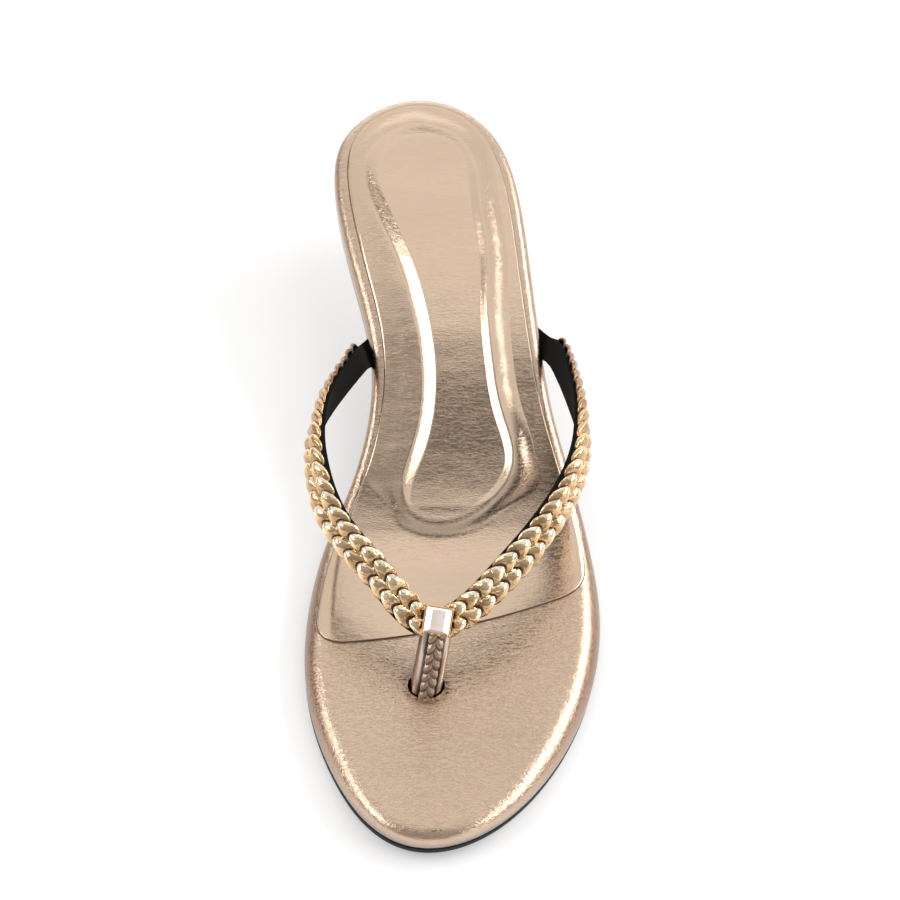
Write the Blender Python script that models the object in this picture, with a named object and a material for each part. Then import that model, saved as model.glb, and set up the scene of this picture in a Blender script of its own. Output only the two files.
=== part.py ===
"""Thong sandal on a kitten heel, left shoe of a pair, as an assembly of separate pieces.

Metres, +Z up. The toe points to -Y and the outer (lateral) side of the foot is +X.
Sizes below are in millimetres. A station is a distance from the toe tip towards the heel.
"""

import math

import bmesh
import bpy
import numpy as np
from mathutils import Matrix, Vector

MM = 0.001
GAP = 0.3  # clearance left between pieces that touch

# Overall
LENGTH = 240.6
FOREFOOT_TOP = 10.0  # top of the footbed where the ball of the foot rests
OUTSOLE_THICK = 2.5
PLATFORM_THICK = FOREFOOT_TOP - OUTSOLE_THICK - GAP
TOE_SPRING = 3.2
TOE_SPRING_LENGTH = 42.0

# Footbed seen from above: station, inner (medial) edge, outer (lateral) edge
TOE_TIP_X = -9.0
HEEL_TIP_X = -6.2
OUTLINE = (
    (3.2, -20.0, 3.6),
    (12.1, -28.8, 15.9),
    (25.4, -35.7, 26.9),
    (43.0, -41.1, 36.2),
    (60.9, -42.9, 41.4),
    (79.4, -41.3, 42.9),
    (97.4, -36.7, 40.9),
    (114.7, -29.1, 36.7),
    (132.0, -24.0, 31.8),
    (149.6, -22.9, 28.7),
    (174.5, -27.7, 26.2),
    (203.1, -33.1, 23.6),
    (223.5, -31.6, 18.4),
    (235.5, -21.5, 8.8),
)

# Side view: station, rise of the footbed above the forefoot
RISE = (
    (84.0, 0.0),
    (95.5, 1.2),
    (111.5, 6.0),
    (128.5, 13.0),
    (143.5, 18.9),
    (158.5, 23.9),
    (173.5, 27.7),
    (188.5, 30.6),
    (203.5, 32.9),
    (223.5, 35.4),
    (240.6, 37.2),
)

# Platform edge
EDGE_ROLL = 3.0
LOWER_CORNER = 0.8

# Outsole
OUTSOLE_INSET = 0.5
OUTSOLE_EDGE = 0.6
OUTSOLE_CORNER = 1.5
HEEL_BREAST = 188.0  # station where the heel starts and the outsole stops
BREAST_BOW = 0.0035  # how far the breast curves back towards its sides, per mm squared

# Padded sock over the rear of the footbed
SOCK_THICK = 1.2
SOCK_EDGE = 0.6
SOCK_INSET_FRONT = 2.5
SOCK_INSET_HEEL = 4.2
SOCK_CORNER = 8.0
SOCK_FRONT_STATION = 67.9
SOCK_FRONT_SLANT = 0.235
SOCK_FRONT_BOW = 0.0027
# Hollow for the heel in the padding, bordered by a raised bead: station, inner edge, outer edge
HOLLOW_FRONT = (103.9, -4.5)
HOLLOW_BACK = (224.5, -6.0)
HOLLOW = (
    (107.2, -11.4, 7.4),
    (112.0, -11.4, 13.2),
    (119.0, -8.7, 16.2),
    (131.0, -5.0, 13.6),
    (148.0, -4.0, 10.7),
    (164.0, -6.2, 9.8),
    (180.0, -10.3, 10.1),
    (200.0, -17.7, 8.0),
    (214.0, -19.4, 6.2),
    (222.0, -13.0, 2.0),
)
BEAD_HEIGHT = 1.7
BEAD_INSIDE = 2.8
BEAD_OUTSIDE = 5.5

# Heel and top piece
TIP_THICK = 5.2
TIP_CENTRE = (-5.6, 222.0)
TIP_HALF_WIDTH = 7.2
TIP_HALF_DEPTH = 6.6
TIP_FRONT_FLAT = 0.12  # how far the front of the D is drawn in, as a share of its half depth
TIP_FRONT_SQUARE = 0.45  # how square the front corners of the D are
TIP_EDGE = 0.4
HEEL_INSET = 1.2
HEEL_LEVELS = 9
SEAT_CORNER = 3.0
HEEL_WAIST = 2.3  # how fast the heel narrows below the seat

STRAP_WIDTH = 10.0
# Straps: x, station, height, width, thickness, and the way the outer face looks (x, y, z)
INNER_STRAP = (
    (-5.6, 58.3, 26.6, 8.6, 3.6, (0.0, -0.55, 0.83)),
    (-11.0, 60.1, 27.9, 9.2, 4.2, (-0.15, -0.55, 0.82)),
    (-21.6, 69.4, 34.2, 9.8, 4.2, (-0.45, -0.45, 0.77)),
    (-34.0, 83.0, 39.8, 10.0, 4.2, (-0.80, -0.28, 0.50)),
    (-39.5, 97.8, 43.2, 10.0, 4.2, (-0.95, -0.10, 0.20)),
    (-39.8, 112.3, 43.6, 10.0, 4.2, (-1.00, 0.00, -0.02)),
    (-36.5, 125.1, 41.8, 10.0, 4.2, (-0.97, 0.05, -0.18)),
    (-30.8, 138.3, 37.6, 10.0, 4.0, (-0.90, 0.12, -0.38)),
    (-26.4, 149.3, 31.6, 10.0, 3.4, (-0.72, 0.22, -0.66)),
)
OUTER_STRAP = (
    (-6.8, 58.3, 26.6, 8.6, 3.6, (0.0, -0.55, 0.83)),
    (-1.4, 60.1, 27.9, 9.2, 4.2, (0.15, -0.55, 0.82)),
    (11.8, 69.2, 34.2, 9.8, 4.2, (0.45, -0.45, 0.77)),
    (25.0, 83.3, 39.8, 10.0, 4.2, (0.80, -0.28, 0.50)),
    (33.6, 97.8, 43.2, 10.0, 4.2, (0.95, -0.10, 0.20)),
    (36.5, 112.3, 43.6, 10.0, 4.2, (1.00, 0.00, -0.02)),
    (36.0, 125.3, 41.8, 10.0, 4.2, (0.97, 0.05, -0.18)),
    (34.2, 140.0, 37.6, 10.0, 4.0, (0.90, 0.12, -0.38)),
    (31.9, 151.9, 31.8, 10.0, 3.4, (0.72, 0.22, -0.66)),
)
# Strap ends tucked under the platform: side, station
INNER_TUCK = (-1, 154.8)
OUTER_TUCK = (1, 158.0)
TUCK_TURN = 40.0  # how far the ends slant back under the foot, in degrees
# Along the end from the platform's edge inwards: distance, outward lean of the face, thickness
TUCK = ((-1.6, 0.25, 2.8), (3.0, 0.0, 2.4), (12.0, 0.0, 2.4))
# Half section of a strap from its lining side to the crown: share of width, share of thickness
STRAP_SECTION = ((0.50, -0.50), (0.50, -0.08), (0.38, 0.30), (0.15, 0.50))

# Toe post: x, station, height, width, depth, and the way its front looks
TOE_POST = (
    (-6.1, 58.3, 26.4, 8.4, 5.6, (0.0, -0.85, 0.5)),
    (-6.9, 55.1, 21.6, 8.8, 6.4, (0.0, -0.83, 0.55)),
    (-7.9, 51.6, 14.6, 8.9, 6.6, (0.0, -0.83, 0.55)),
    (-8.7, 49.2, 9.4, 8.9, 6.8, (0.0, -0.86, 0.5)),
    (-9.3, 47.6, 4.6, 8.9, 6.8, (0.0, -0.9, 0.4)),
)
POST_HOLE_END = (-10.2, 44.8, -3.0, 8.9, 6.8, (0.0, -0.9, 0.4))  # below the platform
POST_HOLE_CLEAR = 0.8

# Stone in its setting, on the knuckle where the straps and the post meet
STONE_PLACE = (-6.2, 57.5, 30.6)
STONE_FACES = (0.02, -0.54, 0.84)
STONE_SIDE = 7.0
STONE_HEIGHT = 3.0
CROWN_WIDTH = 1.5
CROWN_DROP = 1.3
SETTING_WALL = 0.4
SETTING_HEIGHT = 2.2
CLAW_RADIUS = 0.6
CLAW_OUT = 0.3  # from the stone's clearance out to a claw's centre, along each side
CLAW_UP = 0.13
CLAW_TURN = 0.26
KNUCKLE_SIDE = 7.2
KNUCKLE_DEPTH = 5.0

# Mesh fineness
STRAP_STEP = 3.2
POST_STEP = 2.6
POST_SIDES = 12
POST_HOLE_SIDES = 16
OUTLINE_POINTS = 116
CUT_POINTS = 12
CORNER_POINTS = 7
BORDER_POINTS = 160
SMOOTH_ANGLE = 35.0
OUTSOLE_ROWS = 54
SOCK_ROWS = 46
SOCK_COLUMNS = 12
HEEL_ROWS = 16

COLOURS = {
    "rose_leather": ((0.80, 0.60, 0.46), 0.30, 0.9),
    "sock_leather": ((0.78, 0.59, 0.45), 0.32, 0.9),
    "black_rubber": ((0.02, 0.02, 0.02), 0.60, 0.0),
    "gold_braid": ((0.86, 0.64, 0.30), 0.28, 1.0),
    "gold_metal": ((0.83, 0.60, 0.27), 0.22, 1.0),
    "pearl_stone": ((0.90, 0.84, 0.82), 0.12, 0.0),
}


# ---------------------------------------------------------------- curves


def spline(knots, values, at, flat_start=False):
    """Cubic spline through the knots, free at its ends or level at its start."""
    knots = np.asarray(knots, float)
    values = np.asarray(values, float).reshape(len(knots), -1)
    step = np.diff(knots)
    slope = np.diff(values, axis=0) / step[:, None]
    system = np.eye(len(knots))
    right = np.zeros(values.shape)
    for i in range(1, len(knots) - 1):
        system[i, i - 1 : i + 2] = step[i - 1], 2 * (step[i - 1] + step[i]), step[i]
        right[i] = 6 * (slope[i] - slope[i - 1])
    if flat_start:
        system[0, :2] = 2 * step[0], step[0]
        right[0] = 6 * slope[0]
    bend = np.linalg.solve(system, right)
    at = np.atleast_1d(np.asarray(at, float))
    k = np.clip(np.searchsorted(knots, at) - 1, 0, len(step) - 1)
    h = step[k][:, None]
    before = (knots[k + 1] - at)[:, None] / h
    after = 1 - before
    curve = before * values[k] + after * values[k + 1]
    curve += ((before**3 - before) * bend[k] + (after**3 - after) * bend[k + 1]) * h**2 / 6
    return curve


def ring_spline(knots, values, at):
    """Closed spline in an angle: the knots are repeated a turn before and a turn after."""
    turn = 2 * math.pi
    wide_knots = np.concatenate([np.array(knots) - turn, knots, np.array(knots) + turn])
    return spline(wide_knots, np.tile(values, 3), at)[:, 0]


def tip_angle(station):
    """Angle round the outline: 0 at the toe tip, pi at the heel tip."""
    return math.acos(1 - 2 * station / LENGTH)


def outline(count):
    """Points (x, station) of the footbed's outline, from the toe tip round the outer side."""
    knots = [0.0] + [tip_angle(row[0]) for row in OUTLINE] + [math.pi]
    edge = [TOE_TIP_X] + [row[2] for row in OUTLINE] + [HEEL_TIP_X]
    knots += [2 * math.pi - tip_angle(row[0]) for row in reversed(OUTLINE)]
    edge += [row[1] for row in reversed(OUTLINE)]
    angle = np.arange(count) * 2 * math.pi / count
    return np.column_stack([ring_spline(knots, edge, angle), LENGTH * (1 - np.cos(angle)) / 2])


def footbed(station):
    """Height of the footbed's top at a station."""
    station = np.atleast_1d(np.asarray(station, float))
    rows = np.array(RISE)
    climb = spline(rows[:, 0], rows[:, 1], np.maximum(station, rows[0, 0]), flat_start=True)[:, 0]
    spring = TOE_SPRING * np.clip(1 - station / TOE_SPRING_LENGTH, 0, 1) ** 2
    return FOREFOOT_TOP + np.maximum(climb, 0) + spring


def inset(loop, distance):
    """The loop moved inwards, each point along its own normal."""
    along = np.roll(loop, -1, axis=0) - np.roll(loop, 1, axis=0)
    along /= np.linalg.norm(along, axis=1)[:, None]
    return loop + distance * np.column_stack([-along[:, 1], along[:, 0]])


def sock_front(x):
    return SOCK_FRONT_STATION + SOCK_FRONT_SLANT * x + SOCK_FRONT_BOW * x * x


def breast(x):
    return HEEL_BREAST + BREAST_BOW * (x - HEEL_TIP_X) ** 2


def resample(line, count):
    """The line as count points at equal steps of its length."""
    walked = np.concatenate([[0], np.cumsum(np.linalg.norm(np.diff(line, axis=0), axis=1))])
    at = np.linspace(0, walked[-1], count)
    return np.column_stack([np.interp(at, walked, line[:, i]) for i in range(2)])


def cut_side(side, edge, cut, keep_rear, corner):
    """From the middle of a cross cut, along it, round its corner and along the edge to the tip."""
    half = len(edge) // 2
    rail = edge[: half + 1] if side > 0 else np.vstack([edge[half:], edge[:1]])[::-1]
    if not keep_rear:
        rail = rail[::-1]
    beyond = rail[:, 1] - cut(rail[:, 0])
    beyond = beyond if keep_rear else -beyond
    first = int(np.argmax(beyond > 0))
    meet = rail[first]
    from_meet = np.linalg.norm(rail - meet, axis=1)
    rail = rail[first:][from_meet[first:] > corner]
    middle = edge[half, 0]
    reach = np.linspace(middle, meet[0] - math.copysign(corner, meet[0] - middle), CUT_POINTS)
    across = np.column_stack([reach, cut(reach)])
    turn = np.linspace(0, 1, CORNER_POINTS)[1:-1, None]
    round_off = (1 - turn) ** 2 * across[-1] + 2 * turn * (1 - turn) * meet + turn**2 * rail[0]
    return np.vstack([across, round_off, rail])


def cut_loop(edge, cut, keep_rear, corner, rows):
    """Closed loop bounded by an edge and a cross cut, with its points in facing pairs."""
    outer = resample(cut_side(1, edge, cut, keep_rear, corner), rows + 1)
    inner = resample(cut_side(-1, edge, cut, keep_rear, corner), rows + 1)
    loop = np.vstack([outer, inner[-2:0:-1]])
    return loop if keep_rear else loop[::-1]


# ---------------------------------------------------------------- meshes


def placed(x, station, height):
    return Vector((x, station - LENGTH / 2, height)) * MM


def collection(name):
    made = bpy.data.collections.new(name)
    bpy.context.scene.collection.children.link(made)
    return made


def new_object(name, mesh, home, material=None):
    obj = bpy.data.objects.new(name, mesh)
    home.objects.link(obj)
    if material:
        mesh.materials.append(material)
    return obj


def finish_mesh(bm, name):
    """Mesh of flat triangles, because a bent face makes an exact Boolean leave slivers."""
    bmesh.ops.triangulate(bm, faces=bm.faces)
    bmesh.ops.recalc_face_normals(bm, faces=bm.faces)
    mesh = bpy.data.meshes.new(name)
    bm.to_mesh(mesh)
    bm.free()
    mesh.shade_smooth()
    mesh.set_sharp_from_angle(angle=math.radians(SMOOTH_ANGLE))
    return mesh


def add_ring(bm, loop, height):
    return [bm.verts.new(placed(x, s, z)) for (x, s), z in zip(loop, height)]


def join_rings(bm, low, high):
    count = len(low)
    for i in range(count):
        j = (i + 1) % count
        bm.faces.new((low[i], low[j], high[j], high[i]))


def cap_across(bm, ring, columns, lift):
    """Closes a ring with rows from each point to the one facing it; lift gives inner heights."""
    half = len(ring) // 2
    rows = [[ring[0]]]
    for k in range(1, half):
        left, right = ring[k], ring[len(ring) - k]
        inner = []
        for c in range(1, columns):
            spot = left.co.lerp(right.co, c / columns)
            x, station = spot.x / MM, spot.y / MM + LENGTH / 2
            inner.append(bm.verts.new(placed(x, station, lift(x, station))))
        rows.append([left, *inner, right])
    rows.append([ring[half]])
    for near, far in zip(rows, rows[1:]):
        if len(near) == 1 or len(far) == 1:
            tip, row = (near[0], far) if len(near) == 1 else (far[0], near)
            for a, b in zip(row, row[1:]):
                bm.faces.new((tip, a, b))
            continue
        for i in range(len(near) - 1):
            bm.faces.new((near[i], near[i + 1], far[i + 1], far[i]))


def slab(name, levels, top_columns=1, top_lift=None):
    """Solid between the first and last of a stack of rings, each a loop and its heights."""
    bm = bmesh.new()
    rings = [add_ring(bm, loop, height) for loop, height in levels]
    for low, high in zip(rings, rings[1:]):
        join_rings(bm, low, high)
    cap_across(bm, rings[0], 1, None)
    cap_across(bm, rings[-1], top_columns, top_lift)
    return finish_mesh(bm, name)


def rolled_edge(loop, top, radius, steps=3):
    """Rings of a rounded upper edge, from its widest level up to the flat top."""
    rings = []
    for i in range(steps + 1):
        turn = math.pi / 2 * i / steps
        narrow = inset(loop, radius * (1 - math.cos(turn)))
        rings.append((narrow, top(narrow[:, 1]) - radius * (1 - math.sin(turn))))
    return rings


def sweep(name, rows, step, section, grow=0.0):
    """Solid that follows the rows' path, its section turned to the way each row looks."""
    centre = np.array([row[:3] for row in rows], float)
    size = np.array([row[3:5] for row in rows], float)
    facing = np.array([row[5] for row in rows], float)
    walked = np.concatenate([[0], np.cumsum(np.linalg.norm(np.diff(centre, axis=0), axis=1))])
    at = np.linspace(0, walked[-1], max(2, round(walked[-1] / step)) + 1)
    path = spline(walked, centre, at)
    sizes = np.column_stack([np.interp(at, walked, size[:, i]) for i in range(2)]) + 2 * grow
    looks = np.column_stack([np.interp(at, walked, facing[:, i]) for i in range(3)])
    ahead = np.gradient(path, axis=0)
    ahead /= np.linalg.norm(ahead, axis=1)[:, None]
    path[0] -= ahead[0] * grow
    path[-1] += ahead[-1] * grow
    bm = bmesh.new()
    rings = []
    for middle, (wide, thick), look, way in zip(path, sizes, looks, ahead):
        way = Vector(way)
        look = Vector(look)
        look = (look - way * look.dot(way)).normalized()
        across = way.cross(look)
        centre_point = placed(*middle)
        ring = [centre_point + (across * u * wide + look * v * thick) * MM for u, v in section]
        rings.append([bm.verts.new(point) for point in ring])
    for low, high in zip(rings, rings[1:]):
        join_rings(bm, low, high)
    bm.faces.new(rings[0])
    bm.faces.new(rings[-1])
    return finish_mesh(bm, name)


def strap_rows(rows, tuck, loop):
    """A strap's rows with those of its end, which lies in a pocket of the platform's underside."""
    side, station = tuck
    half = len(loop) // 2
    edge = loop[: half + 1] if side > 0 else np.vstack([loop[half:], loop[:1]])[::-1]
    edge_x = float(np.interp(station, edge[:, 1], edge[:, 0]))
    turn = math.radians(TUCK_TURN)
    extra = []
    for along, lean, thick in TUCK:
        x = edge_x - side * along * math.cos(turn)
        at = station + along * math.sin(turn)
        near, far = (float(footbed(at + d)[0]) for d in (-1.0, 1.0))
        slope = (far - near) / 2
        height = (near + far) / 2 - PLATFORM_THICK + thick / 2 + GAP
        extra.append((x, at, height, STRAP_WIDTH, thick, (side * lean, slope, -1.0)))
    return [*rows, *extra]


def strap_section():
    return list(STRAP_SECTION) + [(-u, v) for u, v in reversed(STRAP_SECTION)]


def oval_section(sides):
    angles = [2 * math.pi * i / sides for i in range(sides)]
    return [(math.cos(a) / 2, math.sin(a) / 2) for a in angles]


def boolean(obj, other, operation):
    cut = obj.modifiers.new(other.name, "BOOLEAN")
    cut.operation = operation
    cut.solver = "EXACT"
    cut.object = other


# ---------------------------------------------------------------- pieces


def platform_mesh(loop):
    """Wrapped board under the whole foot, with a rolled upper edge."""
    under = footbed(loop[:, 1]) - PLATFORM_THICK
    bottom = inset(loop, LOWER_CORNER)
    levels = [(bottom, footbed(bottom[:, 1]) - PLATFORM_THICK), (loop, under + LOWER_CORNER)]
    levels += rolled_edge(loop, footbed, EDGE_ROLL)
    return slab("platform", levels)


def outsole_mesh(loop):
    """Black sole under the forefoot and waist, flat where the ball of the foot presses."""
    whole = inset(loop, OUTSOLE_INSET)
    cut = cut_loop(whole, lambda x: breast(x) - GAP, False, OUTSOLE_CORNER, OUTSOLE_ROWS)

    def base(station):
        return footbed(station) - FOREFOOT_TOP

    small = inset(cut, OUTSOLE_EDGE)
    levels = [(small, base(small[:, 1])), (cut, base(cut[:, 1]) + OUTSOLE_EDGE)]
    levels.append((cut, base(cut[:, 1]) + OUTSOLE_THICK))
    return slab("outsole", levels)


def hollow_outline(count):
    """Closed outline (x, station) of the hollow in the sock's padding."""
    front, back = HOLLOW_FRONT, HOLLOW_BACK
    points = [(front[1], front[0])] + [(row[2], row[0]) for row in HOLLOW]
    points += [(back[1], back[0])] + [(row[1], row[0]) for row in reversed(HOLLOW)]
    points = np.array(points)
    around = np.vstack([points, points[:1]])
    walked = np.concatenate([[0], np.cumsum(np.linalg.norm(np.diff(around, axis=0), axis=1))])
    angle = 2 * math.pi * walked[:-1] / walked[-1]
    at = np.arange(count) * 2 * math.pi / count
    return np.column_stack([ring_spline(angle, points[:, i], at) for i in range(2)])


def bead_height(x, station, border):
    """Height of the padding's bead: steep beside the hollow, easing off outwards."""
    offset = border - np.array([x, station])
    distance = np.linalg.norm(offset, axis=1).min()
    ahead = np.roll(border, -1, axis=0)
    crosses = (border[:, 1] > station) != (ahead[:, 1] > station)
    run = (station - border[:, 1]) / np.where(crosses, ahead[:, 1] - border[:, 1], 1)
    inside = np.count_nonzero(crosses & (x < border[:, 0] + run * (ahead[:, 0] - border[:, 0]))) % 2
    if inside:
        return 0.0
    if distance < BEAD_INSIDE:
        return BEAD_HEIGHT * math.sin(math.pi / 2 * distance / BEAD_INSIDE)
    fall = min(1.0, (distance - BEAD_INSIDE) / BEAD_OUTSIDE)
    return BEAD_HEIGHT * (0.5 + 0.5 * math.cos(math.pi * fall))


def sock_mesh(loop):
    """Padded sock from behind the toe post to the heel, with a hollow for the foot."""
    share = np.clip(loop[:, 1] / HEEL_BREAST, 0, 1)[:, None]
    margin = SOCK_INSET_FRONT + (SOCK_INSET_HEEL - SOCK_INSET_FRONT) * share
    edge = cut_loop(inset(loop, margin), sock_front, True, SOCK_CORNER, SOCK_ROWS)
    border = hollow_outline(BORDER_POINTS)

    def top(station):
        return footbed(station) + GAP + SOCK_THICK

    def lifted(x, station):
        return float(top(station)[0]) + bead_height(x, station, border)

    narrow = inset(edge, SOCK_EDGE)
    low = (edge, footbed(edge[:, 1]) + GAP)
    rounded = (edge, top(edge[:, 1]) - SOCK_EDGE)
    return slab("sock", [low, rounded, (narrow, top(narrow[:, 1]))], SOCK_COLUMNS, lifted)


def tip_loop(count):
    """D shape of the top piece: flat in front, round behind."""
    points = []
    for i in range(count):
        angle = 2 * math.pi * i / count
        front = max(0.0, math.cos(angle))
        depth = -math.cos(angle) * TIP_HALF_DEPTH * (1 - TIP_FRONT_FLAT * front**4)
        square = 1 - TIP_FRONT_SQUARE * front
        swell = math.copysign(abs(math.sin(angle)) ** square, math.sin(angle))
        points.append((TIP_CENTRE[0] + TIP_HALF_WIDTH * swell, TIP_CENTRE[1] + depth))
    return np.array(points)


def heel_mesh(loop):
    """Wrapped heel: as wide as the seat at its top, narrowing quickly to the top piece."""
    seat = cut_loop(inset(loop, HEEL_INSET), breast, True, SEAT_CORNER, HEEL_ROWS)
    foot = tip_loop(len(seat))
    under_seat = footbed(seat[:, 1]) - PLATFORM_THICK - GAP
    base = TIP_THICK + GAP
    levels = []
    for i in range(HEEL_LEVELS + 1):
        up = i / HEEL_LEVELS
        toward_seat = up**HEEL_WAIST
        ring = foot + (seat - foot) * toward_seat
        levels.append((ring, base + (under_seat - base) * up))
    return slab("heel", levels)


def heel_tip_mesh():
    """Black top piece that meets the ground."""
    loop = tip_loop(2 * HEEL_ROWS)
    levels = [(inset(loop, TIP_EDGE), np.zeros(len(loop)))]
    levels += [(loop, np.full(len(loop), height)) for height in (TIP_EDGE, TIP_THICK)]
    return slab("heel_tip", levels)


def stone_frame():
    """Frame of the stone: +Z out of its table, +Y away from the toe post."""
    out = Vector(STONE_FACES).normalized()
    post = placed(*TOE_POST[0][:3]) - placed(*TOE_POST[2][:3])
    up = (post - out * post.dot(out)).normalized()
    turned = Matrix((up.cross(out), up, out)).transposed().to_4x4()
    return Matrix.Translation(placed(*STONE_PLACE)) @ turned


def block(side, low, high, top_share=1.0):
    """Square block from low to high, its top side scaled by top_share, in the stone's frame."""
    bm = bmesh.new()
    bmesh.ops.create_cube(bm, size=1.0)
    for vert in bm.verts:
        share = top_share if vert.co.z > 0 else 1.0
        height = high if vert.co.z > 0 else low
        vert.co = Vector((vert.co.x * side * share, vert.co.y * side * share, height)) * MM
    return bm


def stone_mesh(frame, grow=0.0):
    """Square step-cut stone: a straight girdle under a sloping crown with a flat table."""
    bm = block(STONE_SIDE + 2 * grow, -grow, STONE_HEIGHT + grow)
    top = [face for face in bm.faces if face.normal.z > 0.5]
    if not grow:
        made = bmesh.ops.inset_region(bm, faces=top, thickness=CROWN_WIDTH * MM)
        bm.faces.ensure_lookup_table()
        crown = {vert for face in made["faces"] for vert in face.verts} - {
            vert for face in top for vert in face.verts
        }
        for vert in crown:
            vert.co.z -= CROWN_DROP * MM
    bm.transform(frame)
    return finish_mesh(bm, "stone")


def setting_mesh(frame):
    """Square metal cup under the stone."""
    side = STONE_SIDE + 2 * (GAP + SETTING_WALL)
    bm = block(side, -GAP - SETTING_WALL, SETTING_HEIGHT - GAP - SETTING_WALL)
    bm.transform(frame)
    return finish_mesh(bm, "setting")


def claw_mesh(frame, x_side, y_side):
    """One bead claw at a corner of the cup."""
    bm = bmesh.new()
    bmesh.ops.create_uvsphere(bm, u_segments=10, v_segments=6, radius=CLAW_RADIUS * MM)
    reach = (STONE_SIDE / 2 + GAP + CLAW_OUT) * MM
    lift = (SETTING_HEIGHT - GAP - SETTING_WALL + CLAW_UP) * MM
    bmesh.ops.rotate(bm, verts=bm.verts, matrix=Matrix.Rotation(CLAW_TURN, 3, "Z"))
    bmesh.ops.translate(bm, verts=bm.verts, vec=(x_side * reach, y_side * reach, lift))
    bm.transform(frame)
    return finish_mesh(bm, "claw")


def knuckle_mesh(frame):
    """Block inside the meeting of straps and post, with a flat face under the setting."""
    top = -2 * GAP - SETTING_WALL
    bm = block(KNUCKLE_SIDE, top - KNUCKLE_DEPTH, top)
    bm.transform(frame)
    return finish_mesh(bm, "knuckle")


def material(name):
    colour, rough, metal = COLOURS[name]
    made = bpy.data.materials.new(name)
    made.use_nodes = True
    shader = made.node_tree.nodes["Principled BSDF"]
    shader.inputs["Base Color"].default_value = (*colour, 1.0)
    shader.inputs["Roughness"].default_value = rough
    shader.inputs["Metallic"].default_value = metal
    return made


def hidden(name, mesh, home):
    obj = new_object(name, mesh, home)
    obj.hide_render = True
    obj.display_type = "WIRE"
    return obj


def build_upper(parts, cutters, finish, frame, inner_rows, outer_rows):
    """Both straps and the toe post as one solid."""
    section = strap_section()
    upper = new_object("upper", sweep("upper", inner_rows, STRAP_STEP, section), parts, finish)
    others = {
        "outer_strap": sweep("outer_strap", outer_rows, STRAP_STEP, section),
        "toe_post": sweep("toe_post", TOE_POST, POST_STEP, oval_section(POST_SIDES)),
        "knuckle": knuckle_mesh(frame),
    }
    for name, mesh in others.items():
        boolean(upper, hidden(name, mesh, cutters), "UNION")


def cut_platform(platform, cutters, inner_rows, outer_rows):
    """Pockets for the strap ends and the hole for the toe post."""
    section = strap_section()
    for name, rows in (("inner_pocket", inner_rows), ("outer_pocket", outer_rows)):
        mesh = sweep(name, rows, STRAP_STEP, section, GAP)
        boolean(platform, hidden(name, mesh, cutters), "DIFFERENCE")
    post = [*TOE_POST[1:], POST_HOLE_END]
    mesh = sweep("post_hole", post, POST_STEP, oval_section(POST_HOLE_SIDES), POST_HOLE_CLEAR)
    boolean(platform, hidden("post_hole", mesh, cutters), "DIFFERENCE")


def centre_on_floor(parts, cutters):
    """Parents every object to an empty, moved so that the pieces' box is centred over the origin."""
    bpy.context.view_layer.update()
    graph = bpy.context.evaluated_depsgraph_get()
    corners = [Vector(c) for obj in parts.objects for c in obj.evaluated_get(graph).bound_box]
    low = [min(c[i] for c in corners) for i in range(3)]
    high = [max(c[i] for c in corners) for i in range(3)]
    holder = bpy.data.objects.new("sandal_frame", None)
    for obj in [*parts.objects, *cutters.objects]:
        obj.parent = holder
    parts.objects.link(holder)
    holder.location = (-(low[0] + high[0]) / 2, -(low[1] + high[1]) / 2, -low[2])


def main():
    for obj in list(bpy.data.objects):
        bpy.data.objects.remove(obj)
    parts = collection("kitten_heel_sandal")
    cutters = collection("cutters")
    finish = {name: material(name) for name in COLOURS}
    loop = outline(OUTLINE_POINTS)
    frame = stone_frame()

    platform = new_object("platform", platform_mesh(loop), parts, finish["rose_leather"])
    new_object("outsole", outsole_mesh(loop), parts, finish["black_rubber"])
    new_object("sock", sock_mesh(loop), parts, finish["sock_leather"])
    new_object("heel", heel_mesh(loop), parts, finish["rose_leather"])
    new_object("heel_tip", heel_tip_mesh(), parts, finish["black_rubber"])
    inner_rows = strap_rows(INNER_STRAP, INNER_TUCK, loop)
    outer_rows = strap_rows(OUTER_STRAP, OUTER_TUCK, loop)
    build_upper(parts, cutters, finish["gold_braid"], frame, inner_rows, outer_rows)
    cut_platform(platform, cutters, inner_rows, outer_rows)

    new_object("stone", stone_mesh(frame), parts, finish["pearl_stone"])
    setting = new_object("setting", setting_mesh(frame), parts, finish["gold_metal"])
    for x_side in (-1, 1):
        for y_side in (-1, 1):
            claw = hidden(f"claw_{x_side}_{y_side}", claw_mesh(frame, x_side, y_side), cutters)
            boolean(setting, claw, "UNION")
    boolean(setting, hidden("stone_seat", stone_mesh(frame, GAP), cutters), "DIFFERENCE")
    centre_on_floor(parts, cutters)


main()
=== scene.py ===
import math
import random

import bmesh
import bpy
import numpy as np
from mathutils import Matrix, Vector, kdtree


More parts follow.
